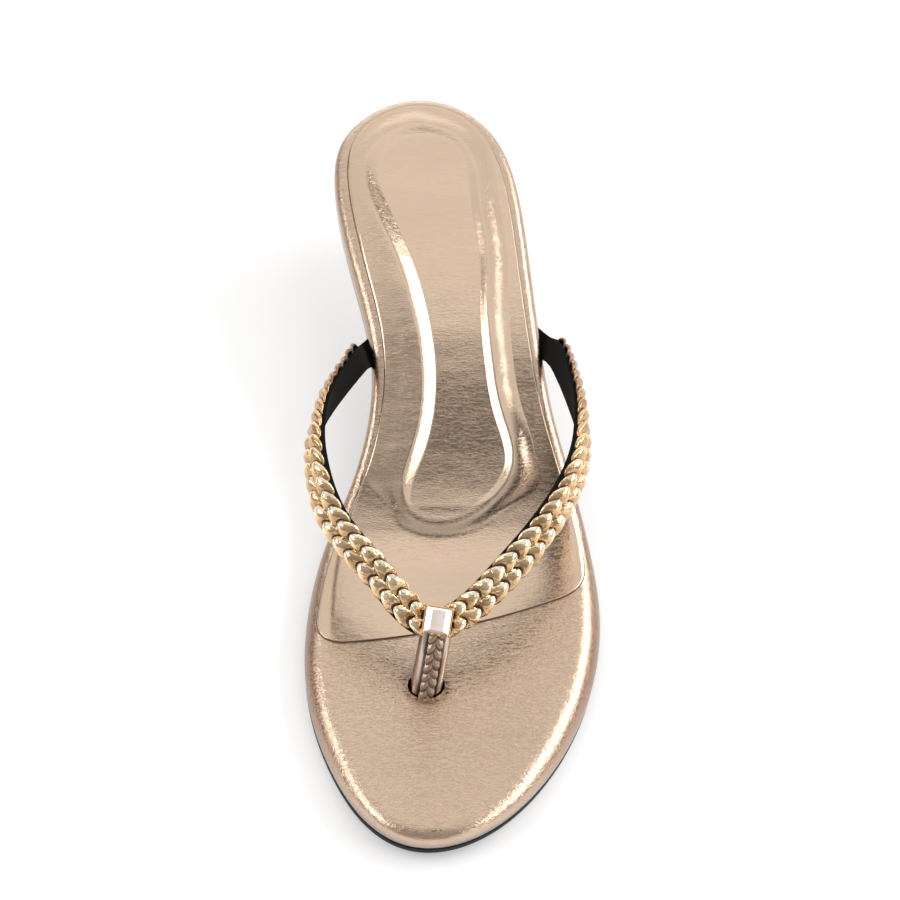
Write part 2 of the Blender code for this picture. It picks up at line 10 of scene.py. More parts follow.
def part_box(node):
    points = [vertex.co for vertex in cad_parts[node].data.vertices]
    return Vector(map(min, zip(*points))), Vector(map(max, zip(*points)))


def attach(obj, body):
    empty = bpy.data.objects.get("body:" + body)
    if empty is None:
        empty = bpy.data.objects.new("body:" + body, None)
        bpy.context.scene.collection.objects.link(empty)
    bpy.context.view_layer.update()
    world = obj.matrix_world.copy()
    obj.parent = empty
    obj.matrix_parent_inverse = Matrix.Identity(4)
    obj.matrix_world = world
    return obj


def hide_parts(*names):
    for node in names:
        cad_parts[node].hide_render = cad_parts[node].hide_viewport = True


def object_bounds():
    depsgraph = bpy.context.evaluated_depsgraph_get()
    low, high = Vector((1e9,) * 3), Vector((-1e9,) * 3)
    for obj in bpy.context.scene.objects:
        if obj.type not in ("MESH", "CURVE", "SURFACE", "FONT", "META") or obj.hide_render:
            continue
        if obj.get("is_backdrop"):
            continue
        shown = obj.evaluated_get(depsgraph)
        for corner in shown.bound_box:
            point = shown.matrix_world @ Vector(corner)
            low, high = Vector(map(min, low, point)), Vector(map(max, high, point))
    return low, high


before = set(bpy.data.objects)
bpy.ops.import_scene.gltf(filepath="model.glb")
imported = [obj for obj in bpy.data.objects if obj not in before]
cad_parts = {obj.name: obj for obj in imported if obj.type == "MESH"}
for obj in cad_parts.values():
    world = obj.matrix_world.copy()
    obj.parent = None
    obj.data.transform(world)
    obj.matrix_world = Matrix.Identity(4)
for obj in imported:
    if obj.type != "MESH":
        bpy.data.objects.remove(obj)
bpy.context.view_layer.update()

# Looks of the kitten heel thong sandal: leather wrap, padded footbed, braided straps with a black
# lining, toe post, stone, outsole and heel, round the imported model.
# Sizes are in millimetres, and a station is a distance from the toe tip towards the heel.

MM = 0.001
GAP = 0.3

# ---- sizes

LENGTH = 240.6
FOREFOOT_TOP = 10.0
OUTSOLE_THICK = 2.5
PLATFORM_THICK = FOREFOOT_TOP - OUTSOLE_THICK - GAP
TOE_SPRING = 3.2
TOE_SPRING_LENGTH = 42.0

# Footbed seen from above: station, inner (medial) edge, outer (lateral) edge
TOE_TIP_X = -9.0
HEEL_TIP_X = -6.2
OUTLINE = (
    (3.2, -20, 3.6),
    (12.1, -28.8, 15.9),
    (25.4, -35.7, 26.9),
    (43, -41.1, 36.2),
    (60.9, -42.9, 41.4),
    (79.4, -41.3, 42.9),
    (97.4, -36.7, 40.9),
    (114.7, -29.1, 36.7),
    (132, -24, 31.8),
    (149.6, -22.9, 28.7),
    (174.5, -27.7, 26.2),
    (203.1, -33.1, 23.6),
    (223.5, -31.6, 18.4),
    (235.5, -21.5, 8.8),
)
# Side view: station, rise of the footbed above the forefoot
RISE = (
    (84, 0),
    (95.5, 1.2),
    (111.5, 6),
    (128.5, 13),
    (143.5, 18.9),
    (158.5, 23.9),
    (173.5, 27.7),
    (188.5, 30.6),
    (203.5, 32.9),
    (223.5, 35.4),
    (240.6, 37.2),
)
# Rounding of the upper edge: how far in it starts and how far it drops, at two stations
SHOULDER_STATIONS = (70.0, 128.0)
SHOULDER_WIDTH = (8.0, 3.4)
SHOULDER_DROP = (5.9, 3.0)
SHOULDER_POWER = 2.0
# The rounding is tighter at the toe tip, up to these stations
TOE_TIGHT = 0.6
TOE_TIGHT_STATIONS = (3.0, 30.0)
SHOULDER_STEPS = 22
# Turn, in degrees up from the side wall, between which the painted shade of the side gives way to
# the top's own colour
SIDE_SHADE_TURN = (42.0, 66.0)
LOWER_CORNER = 0.8
# Station and share of the painted shade in the colour of the side
SIDE_SHADE_SHARE = ((8, 0.25), (45, 0.9), (60, 1), (100, 0.85), (150, 0.62))
OUTSOLE_INSET = (0.15, 1.0)
OUTSOLE_INSET_STATIONS = (70.0, 110.0)
HEEL_BREAST = 188.0
BREAST_BOW = 0.0035
SOCK_EDGE_TOP = 0.6
SOCK_INSET = (2.5, 4.2)
SOCK_CORNER = 8.0
SOCK_FRONT_STATION = 67.9
SOCK_FRONT_SLANT = 0.235
SOCK_FRONT_BOW = 0.0027

# Hollow for the foot: front tip, back tip and rows of station, inner edge, outer edge
HOLLOW_FRONT = (103.9, -4.5)
HOLLOW_BACK = (224.5, -6.0)
HOLLOW = (
    (107.2, -11.4, 7.4),
    (112, -11.4, 13.2),
    (119, -8.7, 16.2),
    (131, -5, 13.6),
    (148, -4, 10.7),
    (164, -6.2, 9.8),
    (180, -10.3, 10.1),
    (200, -17.7, 8),
    (214, -19.4, 6.2),
    (222, -13, 2),
)
# Relief of the padding at stations from the hollow's front to its heel
RELIEF_STATIONS = (106.0, 113.0, 122.0, 175.0, 198.0, 215.0)
FLOOR_HEIGHT = (1.2, 0.8, 0.35, 0.15, 0.25, 0.35)
# Crest height, width of the climb to it from the hollow and width of the fall beyond it: on the
# medial side, on the lateral side and at the front end
CREST_HEIGHT = ((1.5, 1.9, 2.2, 2.5, 2.6, 1.15), (2.5, 2.25, 1.95, 1.75, 1.55, 1.0), 1.24)
CLIMB_WIDTH = ((2.6, 3.2, 3.8, 5.2, 5.4, 5.0), (2.2, 2.4, 2.5, 2.5, 2.9, 3.7), 1.8)
FALL_WIDTH = ((9.0, 11.0, 11.0, 10.0, 8.0, 6.0), (15.0, 9.5, 6.2, 6.0, 6.0, 5.5), 5.5)
# Stations between which the crest's sharp corner softens towards the heel
SOFT_STATIONS = (194.0, 214.0)
# Stations between which the front end's relief gives way to the sides'
FRONT_STATIONS = (105.0, 116.0)
# Distance either side of the hollow's middle over which the medial side's gives way to the
# lateral side's
SIDE_BLEND = 5.0
# Slope left just inside the crest, and evenness of the fall's two ends: 1 is a full S curve
CREST_ROUND = 0.1
FALL_ROUND = 0.24
FRONT_ROUND = 0.85

TIP_THICK = 5.2
TIP_CENTRE = (-5.6, 222.0)
TIP_HALF_WIDTH = 7.2
TIP_HALF_DEPTH = 6.6
TIP_FRONT_FLAT = 0.12
TIP_FRONT_SQUARE = 0.45
HEEL_INSET = 1.2
HEEL_WAIST = 2.3
SEAT_CORNER = 3.0

# Straps: x, station, height, width, and the way the outer face looks (x, y, z)
STRAP_WIDTH = 10.0
INNER_STRAP = (
    (-5.6, 58.3, 26.6, 8.6, (0, -0.42, 0.90)),
    (-11, 60.1, 27.9, 9.2, (-0.10, -0.40, 0.91)),
    (-21.6, 69.4, 34.2, 9.8, (-0.28, -0.42, 0.86)),
    (-34, 83, 39.8, 10, (-0.64, -0.36, 0.67)),
    (-39.5, 97.8, 43.2, 10, (-0.86, -0.18, 0.46)),
    (-39.8, 112.3, 43.6, 10, (-0.96, -0.02, 0.24)),
    (-36.5, 125.1, 41.8, 10, (-0.98, 0.05, -0.08)),
    (-30.8, 138.3, 37.6, 10, (-0.90, 0.12, -0.38)),
    (-26.4, 149.3, 31.6, 10, (-0.72, 0.22, -0.66)),
)
OUTER_STRAP = (
    (-6.8, 58.3, 26.6, 8.6, (0, -0.55, 0.83)),
    (-1.4, 60.1, 27.9, 9.2, (0.10, -0.56, 0.82)),
    (11.8, 69.2, 34.2, 9.8, (0.30, -0.52, 0.80)),
    (25, 83.3, 39.8, 10, (0.66, -0.36, 0.66)),
    (33.6, 97.8, 43.2, 10, (0.86, -0.18, 0.46)),
    (36.5, 112.3, 43.6, 10, (0.96, -0.02, 0.24)),
    (36, 125.3, 41.8, 10, (0.98, 0.05, -0.08)),
    (34.2, 140, 37.6, 10, (0.90, 0.12, -0.38)),
    (31.9, 151.9, 31.8, 10, (0.72, 0.22, -0.66)),
)
# Strap ends tucked under the platform: side, station
INNER_TUCK = (-1, 154.8)
OUTER_TUCK = (1, 158.0)
TUCK_TURN = 40.0
# Along the end from the platform's edge inwards: distance, outward lean of the face
TUCK = ((-1.6, 0.25), (3, 0), (12, 0))
TUCK_DEPTH = 1.4

# Toe post: x, station, height, width, depth, and the way its front looks
TOE_POST = (
    (-6.1, 58.3, 26.4, 8.4, 5.6, (0, -0.85, 0.5)),
    (-6.9, 55.1, 21.6, 8.8, 6.4, (0, -0.83, 0.55)),
    (-7.9, 51.6, 14.6, 8.9, 6.6, (0, -0.83, 0.55)),
    (-8.7, 49.2, 9.4, 8.9, 6.8, (0, -0.86, 0.5)),
    (-9.3, 47.6, 4.6, 8.9, 6.8, (0, -0.9, 0.4)),
)
POST_HOLE_END = (-10.2, 44.8, -3.0, 8.9, 6.8, (0.0, -0.9, 0.4))
POST_HOLE_CLEAR = 0.8

STONE_PLACE = (-6.2, 57.5, 30.6)
STONE_FACES = (-0.02, -0.48, 0.877)
STONE_SIDE = 7.0
STONE_HEIGHT = 3.0
# Share of the side that the table takes, across and along
STONE_TABLE = (0.52, 0.80)
CROWN_DROP = 0.85
# Its lowest rows: share of the side across and along, height; its bevel: width, least angle
STONE_FOOT = ((0.96, 0.96, 0.0), (1.0, 1.0, 0.25))
STONE_BEVEL = (0.08, 10)
SETTING_WALL = 0.4
SETTING_GAP = 0.1
SETTING_HEIGHT = 2.2

# Where the toe tip and the middle of the top piece lie in the frame
toe_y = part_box("platform")[0].y
tip_low, tip_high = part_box("heel_tip")
side_shift = (tip_low.x + tip_high.x) / 2 - TIP_CENTRE[0] * MM


# ---- curves

CUT_STEPS = 30
CORNER_STEPS = 16


def turns(count):
    """Angles of equal steps round a full turn."""
    return np.arange(count) * 2 * math.pi / count


def walked(line):
    """Length walked along a line up to each of its points."""
    return np.concatenate([[0], np.cumsum(np.linalg.norm(np.diff(line, axis=0), axis=1))])


def unit(rows):
    return rows / np.linalg.norm(rows, axis=1)[:, None]


def mixed(low, high, share):
    return low + (high - low) * share


def between(at, knots, table):
    """Rows of a table, given at knots, interpolated in a straight line."""
    columns = np.asarray(table, float).T
    return np.stack([np.interp(at, knots, column) for column in columns], axis=-1)


def spline(knots, values, at, flat_start=False):
    """Cubic spline through the knots, free at its ends or level at its start."""
    knots = np.asarray(knots, float)
    values = np.asarray(values, float).reshape(len(knots), -1)
    step = np.diff(knots)
    slope = np.diff(values, axis=0) / step[:, None]
    system = np.eye(len(knots))
    right = np.zeros(values.shape)
    for i in range(1, len(knots) - 1):
        system[i, i - 1 : i + 2] = step[i - 1], 2 * (step[i - 1] + step[i]), step[i]
        right[i] = 6 * (slope[i] - slope[i - 1])
    if flat_start:
        system[0, :2] = 2 * step[0], step[0]
        right[0] = 6 * slope[0]
    bend = np.linalg.solve(system, right)
    at = np.atleast_1d(np.asarray(at, float))
    k = np.clip(np.searchsorted(knots, at) - 1, 0, len(step) - 1)
    h = step[k][:, None]
    before = (knots[k + 1] - at)[:, None] / h
    after = 1 - before
    curve = before * values[k] + after * values[k + 1]
    curve += ((before**3 - before) * bend[k] + (after**3 - after) * bend[k + 1]) * h**2 / 6
    return curve


def ring_spline(knots, values, at):
    """Closed spline in an angle: the knots are repeated a turn before and a turn after."""
    turn = 2 * math.pi
    wide_knots = np.concatenate([np.array(knots) - turn, knots, np.array(knots) + turn])
    return spline(wide_knots, np.tile(values, 3), at)[:, 0]


def tip_angle(station):
    return math.acos(1 - 2 * station / LENGTH)


def outline(count):
    """Points (x, station) of the footbed's outline, from the toe tip round the outer side."""
    knots = [0.0] + [tip_angle(row[0]) for row in OUTLINE] + [math.pi]
    edge = [TOE_TIP_X] + [row[2] for row in OUTLINE] + [HEEL_TIP_X]
    knots += [2 * math.pi - tip_angle(row[0]) for row in reversed(OUTLINE)]
    edge += [row[1] for row in reversed(OUTLINE)]
    angle = turns(count)
    return np.column_stack([ring_spline(knots, edge, angle), LENGTH * (1 - np.cos(angle)) / 2])


def footbed(station):
    """Height of the footbed's top at each station."""
    station = np.atleast_1d(np.asarray(station, float))
    rows = np.array(RISE)
    climb = spline(rows[:, 0], rows[:, 1], np.maximum(station, rows[0, 0]), flat_start=True)[:, 0]
    spring = TOE_SPRING * np.clip(1 - station / TOE_SPRING_LENGTH, 0, 1) ** 2
    return FOREFOOT_TOP + np.maximum(climb, 0) + spring


def inset(loop, distance):
    """The loop moved inwards, each point along its own normal."""
    along = unit(np.roll(loop, -1, axis=0) - np.roll(loop, 1, axis=0))
    return loop + np.reshape(distance, (-1, 1)) * np.column_stack([-along[:, 1], along[:, 0]])


def sock_front(x):
    return SOCK_FRONT_STATION + SOCK_FRONT_SLANT * x + SOCK_FRONT_BOW * x * x


def breast(x):
    return HEEL_BREAST + BREAST_BOW * (x - HEEL_TIP_X) ** 2


def resample(line, count):
    """The line as count points at equal steps of its length."""
    lengths = walked(line)
    return between(np.linspace(0, lengths[-1], count), lengths, line)


def half_of(loop, side):
    """Half of a loop from toe tip to heel tip: the lateral half (1) or the medial half (-1)."""
    half = len(loop) // 2
    return loop[: half + 1] if side > 0 else np.vstack([loop[half:], loop[:1]])[::-1]


def cut_side(side, edge, cut, keep_rear, corner):
    """From the middle of a cross cut, along it, round its corner and along the edge to the tip."""
    rail = half_of(edge, side)
    if not keep_rear:
        rail = rail[::-1]
    beyond = rail[:, 1] - cut(rail[:, 0])
    first = int(np.argmax((beyond if keep_rear else -beyond) > 0))
    meet = rail[first]
    from_meet = np.linalg.norm(rail - meet, axis=1)
    rail = rail[first:][from_meet[first:] > corner]
    middle = edge[len(edge) // 2, 0]
    reach = np.linspace(middle, meet[0] - math.copysign(corner, meet[0] - middle), CUT_STEPS)
    across = np.column_stack([reach, cut(reach)])
    turn = np.linspace(0, 1, CORNER_STEPS)[1:-1, None]
    round_off = (1 - turn) ** 2 * across[-1] + 2 * turn * (1 - turn) * meet + turn**2 * rail[0]
    return np.vstack([across, round_off, rail])


def cut_loop(edge, cut, keep_rear, corner, rows):
    """Closed loop bounded by an edge and a cross cut, with its points in facing pairs."""
    halves = (cut_side(side, edge, cut, keep_rear, corner) for side in (1, -1))
    outer, inner = (resample(half, rows + 1) for half in halves)
    loop = np.vstack([outer, inner[-2:0:-1]])
    return loop if keep_rear else loop[::-1]


def hollow_outline(count):
    """Closed outline (x, station) of the hollow in the sock's padding."""
    front, back = HOLLOW_FRONT, HOLLOW_BACK
    points = [(front[1], front[0])] + [(row[2], row[0]) for row in HOLLOW]
    points += [(back[1], back[0])] + [(row[1], row[0]) for row in reversed(HOLLOW)]
    points = np.array(points)
    lengths = walked(np.vstack([points, points[:1]]))
    angle = 2 * math.pi * lengths[:-1] / lengths[-1]
    return np.column_stack([ring_spline(angle, column, turns(count)) for column in points.T])


class Border:
    """Closed line, with the distance of points from it: negative inside."""

    def __init__(self, loop):
        self.loop = loop
        self.ahead = np.roll(loop, -1, axis=0)
        area = (loop[:, 0] * self.ahead[:, 1] - self.ahead[:, 0] * loop[:, 1]).sum()
        self.turn = -math.copysign(1, area)
        self.tree = kdtree.KDTree(len(loop))
        for i, (x, station) in enumerate(loop.tolist()):
            self.tree.insert((x, station, 0.0), i)
        self.tree.balance()

    def offset(self, x, station):
        spots = np.column_stack([np.atleast_1d(x), np.atleast_1d(station)])
        near = np.array([self.tree.find((a, b, 0.0))[1] for a, b in spots.tolist()])
        gaps, sides = [], []
        for start in (near - 1, near):
            way = self.ahead[start] - self.loop[start]
            off = spots - self.loop[start]
            along = np.clip((off * way).sum(1) / (way * way).sum(1), 0, 1)
            gaps.append(np.linalg.norm(off - along[:, None] * way, axis=1))
            sides.append(way[:, 0] * off[:, 1] - way[:, 1] * off[:, 0])
        first = gaps[0] < gaps[1]
        side = np.where(first, sides[0], sides[1])
        return self.turn * np.copysign(np.where(first, gaps[0], gaps[1]), side)


def smooth_step(low, high, value):
    share = np.clip((value - low) / (high - low), 0, 1)
    return share * share * (3 - 2 * share)


# ---- mesh building

MERGE = 1e-7


def linked(name, data):
    obj = bpy.data.objects.new(name, data)
    bpy.context.scene.collection.objects.link(obj)
    return obj


class Shell:
    """Vertices in millimetres (x, station, height) and faces, turned into one mesh object.

    A mark from 0 to 1 on each vertex, the attribute "side", sets a material's colour there: painted
    shade on the platform's sides and the toe post, painted highlight and shade on the braid's
    loops.
    """

    def __init__(self):
        self.points = []
        self.marks = []
        self.faces = []
        self.slots = []

    def add(self, points, mark=0.0):
        first = len(self.points)
        self.points.extend(np.asarray(points, float).tolist())
        self.marks.extend(np.broadcast_to(mark, len(points)).tolist())
        return list(range(first, first + len(points)))

    def face(self, corners, slot=0):
        self.faces.append(tuple(corners))
        self.slots.append(slot)

    def rings(self, rows, slot=0, closed=True):
        """Quads between consecutive rows of the same length."""
        for low, high in zip(rows, rows[1:]):
            count = len(low)
            for i in range(count if closed else count - 1):
                j = (i + 1) % count
                self.face((low[i], low[j], high[j], high[i]), slot)

    def object(self, name, materials, sharp=0):
        """The mesh object, with its edges sharp where they turn by more than sharp degrees."""
        points = np.array(self.points) * MM + (side_shift, toe_y, 0)
        mesh = bpy.data.meshes.new(name)
        mesh.from_pydata(points.tolist(), [], self.faces)
        for material in materials:
            mesh.materials.append(material)
        mesh.polygons.foreach_set("material_index", self.slots)
        mesh.attributes.new("side", "FLOAT", "POINT").data.foreach_set("value", self.marks)
        bm = bmesh.new()
        bm.from_mesh(mesh)
        bmesh.ops.remove_doubles(bm, verts=bm.verts, dist=MERGE)
        bmesh.ops.recalc_face_normals(bm, faces=bm.faces)
        bm.to_mesh(mesh)
        bm.free()
        smoothed(mesh, sharp)
        return linked(name, mesh)


def smoothed(mesh, sharp):
    mesh.shade_smooth()
    if sharp:
        mesh.set_sharp_from_angle(angle=math.radians(sharp))


def cap(shell, ring, loop, heights, columns, slot=0):
    """Closes a ring with rows from each point to the one facing it; heights gives inner heights."""
    half = len(loop) // 2
    share = np.linspace(0, 1, columns + 1)[1:-1, None]
    rows = [[ring[0]]]
    for k in range(1, half):
        inner = mixed(loop[k], loop[-k], share)
        rows.append([ring[k], *shell.add(np.column_stack([inner, heights(*inner.T)])), ring[-k]])
    rows.append([ring[half]])
    for near, far in zip(rows, rows[1:]):
        if len(near) == 1 or len(far) == 1:
            tip, row = (near[0], far) if len(near) == 1 else (far[0], near)
            for a, b in zip(row, row[1:]):
                shell.face((tip, a, b), slot)
            continue
        for i in range(len(near) - 1):
            shell.face((near[i], near[i + 1], far[i + 1], far[i]), slot)


def ring_of(shell, loop, height, mark=0.0):
    return shell.add(np.column_stack([loop, np.broadcast_to(height, len(loop))]), mark)


# ---- material nodes

# Values between which a noise mostly lies
NOISE_SPAN = (0.3, 0.7)
CREASE_POWER = 0.6
# Bumps: scale of the noise in x, y and z, depth in metres, strength
SWELL = ((45, 90, 90), 0.0008, 0.35)
WRINKLE = ((420, 1200, 1200), 0.00011, 0.7)
FINE_GRAIN = ((900, 2100, 2100), 0.00003, 0.6)
CRINKLE = ((260, 260, 260), 0.0011, 0.5)
# Unevenness of the leather's colour, and the painted shade that darkens the creases of its
# wrinkles, with its share
TONE_SCALE = (16, 22, 22)
CREASE_SHADE_STOPS = ((0.05, (0.62, 0.58, 0.55)), (0.22, (1.0, 1.0, 1.0)))
CREASE_SHADE_SHARE = 0.14
# Worn patches of the foil, and the mark of a loop's body, between the painted highlight near its
# free edge at 0 and the painted shade of its brown root at 1
WEAR_SCALE = (230, 230, 230)
WEAR_STOPS = ((0.42, (1.0, 1.0, 1.0)), (0.72, (0.66, 0.56, 0.46)))
FOIL_BODY = 0.35


class Nodes:
    """Short way to add and join the nodes of a material or a world."""

    def __init__(self, owner, shader="Principled BSDF"):
        owner.use_nodes = True
        self.owner = owner
        self.tree = owner.node_tree
        self.shader = self.tree.nodes[shader]

    def add(self, kind, **settings):
        node = self.tree.nodes.new("ShaderNode" + kind)
        for key, value in settings.items():
            if hasattr(node, key):
                setattr(node, key, value)
            else:
                node.inputs[key.replace("_", " ")].default_value = value
        return node

    def link(self, source, output, target, socket):
        self.tree.links.new(source.outputs[output], target.inputs[socket])

    def noise(self, scale, **settings):
        """Noise by position on the object, in metres times the scale."""
        mapped = self.add("Mapping", Scale=scale)
        self.link(self.add("TexCoord"), "Object", mapped, "Vector")
        settings = {"Scale": 1.0, "Detail": 3.0, "Roughness": 0.55, **settings}
        node = self.add("TexNoise", **settings)
        self.link(mapped, "Vector", node, "Vector")
        return node

    def ramp(self, source, output, stops):
        node = self.add("ValToRGB")
        ramp = node.color_ramp
        while len(ramp.elements) < len(stops):
            ramp.elements.new(0.5)
        for element, (position, colour) in zip(ramp.elements, stops):
            element.position = position
            element.color = (*colour, 1.0) if len(colour) == 3 else colour
        self.link(source, output, node, "Fac")
        return node

    def multiply(self, first, second, share):
        """First colour times a share of the second."""
        mix = self.add("Mix", data_type="RGBA", blend_type="MULTIPLY", Factor=share)
        self.link(first, "Color", mix, 6)
        self.link(second, "Color", mix, 7)
        return mix

    def roughness(self, source, at_low, at_high):
        """Roughness that follows a noise between its usual low and high values."""
        span = {"From_Min": NOISE_SPAN[0], "From_Max": NOISE_SPAN[1]}
        node = self.add("MapRange", To_Min=at_low, To_Max=at_high, **span)
        self.link(source, "Fac", node, "Value")
        self.link(node, "Result", self.shader, "Roughness")

    def bump(self, source, output, depth, strength, before=None):
        node = self.add("Bump", Distance=depth, Strength=strength)
        self.link(source, output, node, "Height")
        if before:
            self.link(before, "Normal", node, "Normal")
        return node

    def calculate(self, operation, source, output, value=0.5):
        node = self.add("Math", operation=operation)
        self.link(source, output, node, 0)
        node.inputs[1].default_value = value
        return node

    def set(self, **values):
        for key, value in values.items():
            self.shader.inputs[key.replace("_", " ")].default_value = value


def creases(made, scale, detail, distortion):
    """Height of leather grain: rounded cells with sharp creases between them."""
    cells = made.noise(scale, Detail=detail, Roughness=0.5, Distortion=distortion)
    centred = made.calculate("SUBTRACT", cells, "Fac")
    folded = made.calculate("ABSOLUTE", centred, "Value")
    return made.calculate("POWER", folded, "Value", CREASE_POWER)


def metallic_leather(name, colour, dark, side=None, rough=(0.13, 0.21), grain=1.0):
    """Foil-coated leather: fine wrinkles across the foot, a finer grain and soft unevenness, with
    painted shade in the wrinkles' creases and, where side is given, a painted shade of that colour
    wherever the mark side is set.
    """
    made = Nodes(bpy.data.materials.new(name))
    wrinkle = creases(made, WRINKLE[0], 3.0, 0.9)
    fine = creases(made, FINE_GRAIN[0], 2.0, 0.4)
    swell = made.noise(SWELL[0], Detail=2.0)
    tone = made.noise(TONE_SCALE)
    colours = made.ramp(tone, "Fac", ((0.35, colour), (0.72, dark)))
    # Painted shade: the wrinkles' creases darken the colour.
    crease_shade = made.ramp(wrinkle, "Value", CREASE_SHADE_STOPS)
    mix = made.multiply(colours, crease_shade, CREASE_SHADE_SHARE * grain**1.5)
    # Painted shade: where the mark side is set, the colour gives way to the given side colour.
    if side:
        mark = made.add("Attribute", attribute_name="side")
        turn = made.add("Mix", data_type="RGBA")
        made.link(mark, "Fac", turn, "Factor")
        made.link(mix, 2, turn, 6)
        turn.inputs[7].default_value = (*side, 1.0)
        mix = turn
    made.link(mix, 2, made.shader, "Base Color")
    made.roughness(tone, rough[1], rough[0])
    bumps = made.bump(swell, "Fac", *SWELL[1:])
    for source, (_, depth, strength) in ((wrinkle, WRINKLE), (fine, FINE_GRAIN)):
        bumps = made.bump(source, "Value", depth * grain, strength, bumps)
    made.link(bumps, "Normal", made.shader, "Normal")
    made.set(Metallic=1.0, Coat_Weight=0.3, Coat_Roughness=0.12)
    return made.owner


def foil_braid(name, painted_highlight, colour, back):
    """Crinkled gold foil: a painted highlight where the mark is 0, its own gold at the body's mark,
    and at mark 1 a brown that is painted shade at a loop's root and the rosier colour down the
    strap.
    """
    made = Nodes(bpy.data.materials.new(name))
    crinkle = made.noise(CRINKLE[0], Roughness=0.5, Distortion=0.9)
    patches = made.noise(WEAR_SCALE)
    mark = made.add("Attribute", attribute_name="side")
    colours = made.ramp(mark, "Fac", ((0.0, painted_highlight), (FOIL_BODY, colour), (1.0, back)))
    wear = made.ramp(patches, "Fac", WEAR_STOPS)
    made.link(made.multiply(colours, wear, 1.0), 2, made.shader, "Base Color")
    made.roughness(crinkle, 0.22, 0.11)
    made.link(made.bump(crinkle, "Fac", *CRINKLE[1:]), "Normal", made.shader, "Normal")
    made.set(Metallic=1.0)
    return made.owner


def plain(name, colour, rough, metal=0.0, grain=0.00004, scale=2200, **more):
    """Even colour with a fine surface."""
    made = Nodes(bpy.data.materials.new(name))
    surface = made.noise((scale, scale, scale))
    tone = made.ramp(surface, "Fac", ((0.3, tuple(c * 0.8 for c in colour)), (0.7, colour)))
    made.link(tone, "Color", made.shader, "Base Color")
    made.roughness(surface, rough * 0.9, rough * 1.1)
    made.link(made.bump(surface, "Fac", grain, 0.6), "Normal", made.shader, "Normal")
    made.set(Metallic=metal, **more)
    return made.owner


# Its third colour is the painted shade of the platform's side wall and outer shoulder.
rose = metallic_leather(
    "rose_leather", (0.73, 0.55, 0.405), (0.67, 0.50, 0.365), (0.34, 0.215, 0.15), (0.10, 0.15), 1.7
)
heel_leather = metallic_leather("heel_leather", (0.58, 0.40, 0.30), (0.45, 0.30, 0.22))
sock_leather = metallic_leather(
    "footbed_leather", (0.80, 0.605, 0.445), (0.74, 0.555, 0.405), rough=(0.15, 0.22), grain=0.6
)
chain_leather = plain("chain_leather", (0.46, 0.33, 0.25), 0.34, metal=0.75)
# Painted shade for the gaps between the chain's loops: free edges, roots, undersides and ends.
chain_gap_shade = plain("chain_gap_shade", (0.03, 0.025, 0.028), 0.6)
# Painted highlight, the foil's own gold, and a brown that is painted shade at the loops' roots and
# the rosier colour down the strap.
gold_foil = foil_braid("gold_foil", (1.0, 0.93, 0.76), (0.93, 0.68, 0.38), (0.46, 0.285, 0.175))
# Painted shade for the gaps between the braid's loops: free edges, roots, undersides and ends.
braid_gap_shade = plain("braid_gap_shade", (0.11, 0.058, 0.032), 0.6)
# Its side colour is the painted shade at the toe post's edges and down its middle.
pewter = metallic_leather(
    "post_leather", (0.60, 0.49, 0.415), (0.52, 0.42, 0.35), side=(0.10, 0.07, 0.06), grain=0.3
)
suede = plain("black_suede", (0.006, 0.006, 0.006), 0.9, Specular_IOR_Level=0.1, Sheen_Weight=0.03)
rubber = plain("black_rubber", (0.012, 0.011, 0.011), 0.6, scale=900, Specular_IOR_Level=0.2)
cut_edge = plain("cut_edge", (0.18, 0.10, 0.055), 0.7)
gold_metal = plain("gold_metal", (0.80, 0.52, 0.25), 0.22, metal=1.0, scale=700)
pearl = plain(
    "pearl", (1.0, 0.86, 0.79), 0.1, 0.4, 0.0, 300, Coat_Weight=0.6, Coat_Roughness=0.03
)
# Painted shade for the wall of the toe post's hole.
painted_hole_shade = plain("painted_hole_shade", (0.02, 0.016, 0.014), 0.8)


# ---- platform and sole

WRAP_POINTS = 560
WRAP_COLUMNS = 72
# Clearance that the toe post's hole has along the foot beyond that across it
HOLE_LONGER = 0.5
# Dip of the wrap round the hole: depth, reach from the rim, how far it goes inside the rim
DIP_DEPTH = 0.45
DIP_REACH = 0.9
DIP_INSIDE = 0.5
HOLE_SIDES = 48
OUTSOLE_CORNER = 1.5
OUTSOLE_ROWS = 260
# How far in and how far up each ring lies, from the floor up
OUTSOLE_LEVELS = ((0.6, 0), (0.18, 0.18), (0, 0.6), (0, OUTSOLE_THICK - 0.3), (0.25, OUTSOLE_THICK))
outer_loop = outline(WRAP_POINTS)
outer_border = Border(outer_loop)


def post_hole_offset(x, station):
    """Distance from the rim of the toe post's hole, at the height of the footbed."""
    centre_x, centre_station, _, width, depth, _ = TOE_POST[3]
    half = (width / 2 + POST_HOLE_CLEAR, depth / 2 + POST_HOLE_CLEAR + HOLE_LONGER)
    reach = np.hypot((x - centre_x) / half[0], (station - centre_station) / half[1])
    return (reach - 1) * min(half)


def shoulder(station):
    """Width and drop of the rounded upper edge at a station."""
    share = smooth_step(*SHOULDER_STATIONS, station)
    tight = mixed(TOE_TIGHT, 1, smooth_step(*TOE_TIGHT_STATIONS, station))
    return mixed(*SHOULDER_WIDTH, share) * tight, mixed(*SHOULDER_DROP, share) * tight


def rounded_top(x, station):
    """Height of the platform's top, rounded off towards its outline."""
    x, station = np.atleast_1d(x), np.atleast_1d(station)
    margin = -outer_border.offset(x, station)
    width, drop = shoulder(station)
    share = np.clip(1 - margin / width, 0, 1)
    return footbed(station) - drop * (1 - (1 - share**SHOULDER_POWER) ** (1 / SHOULDER_POWER))


def wrap_top(x, station):
    """Top of the wrapped platform, dipping a little round the hole."""
    from_rim = np.maximum(post_hole_offset(x, station), -DIP_INSIDE)
    return footbed(station) - DIP_DEPTH * np.exp(-((from_rim / DIP_REACH) ** 2))


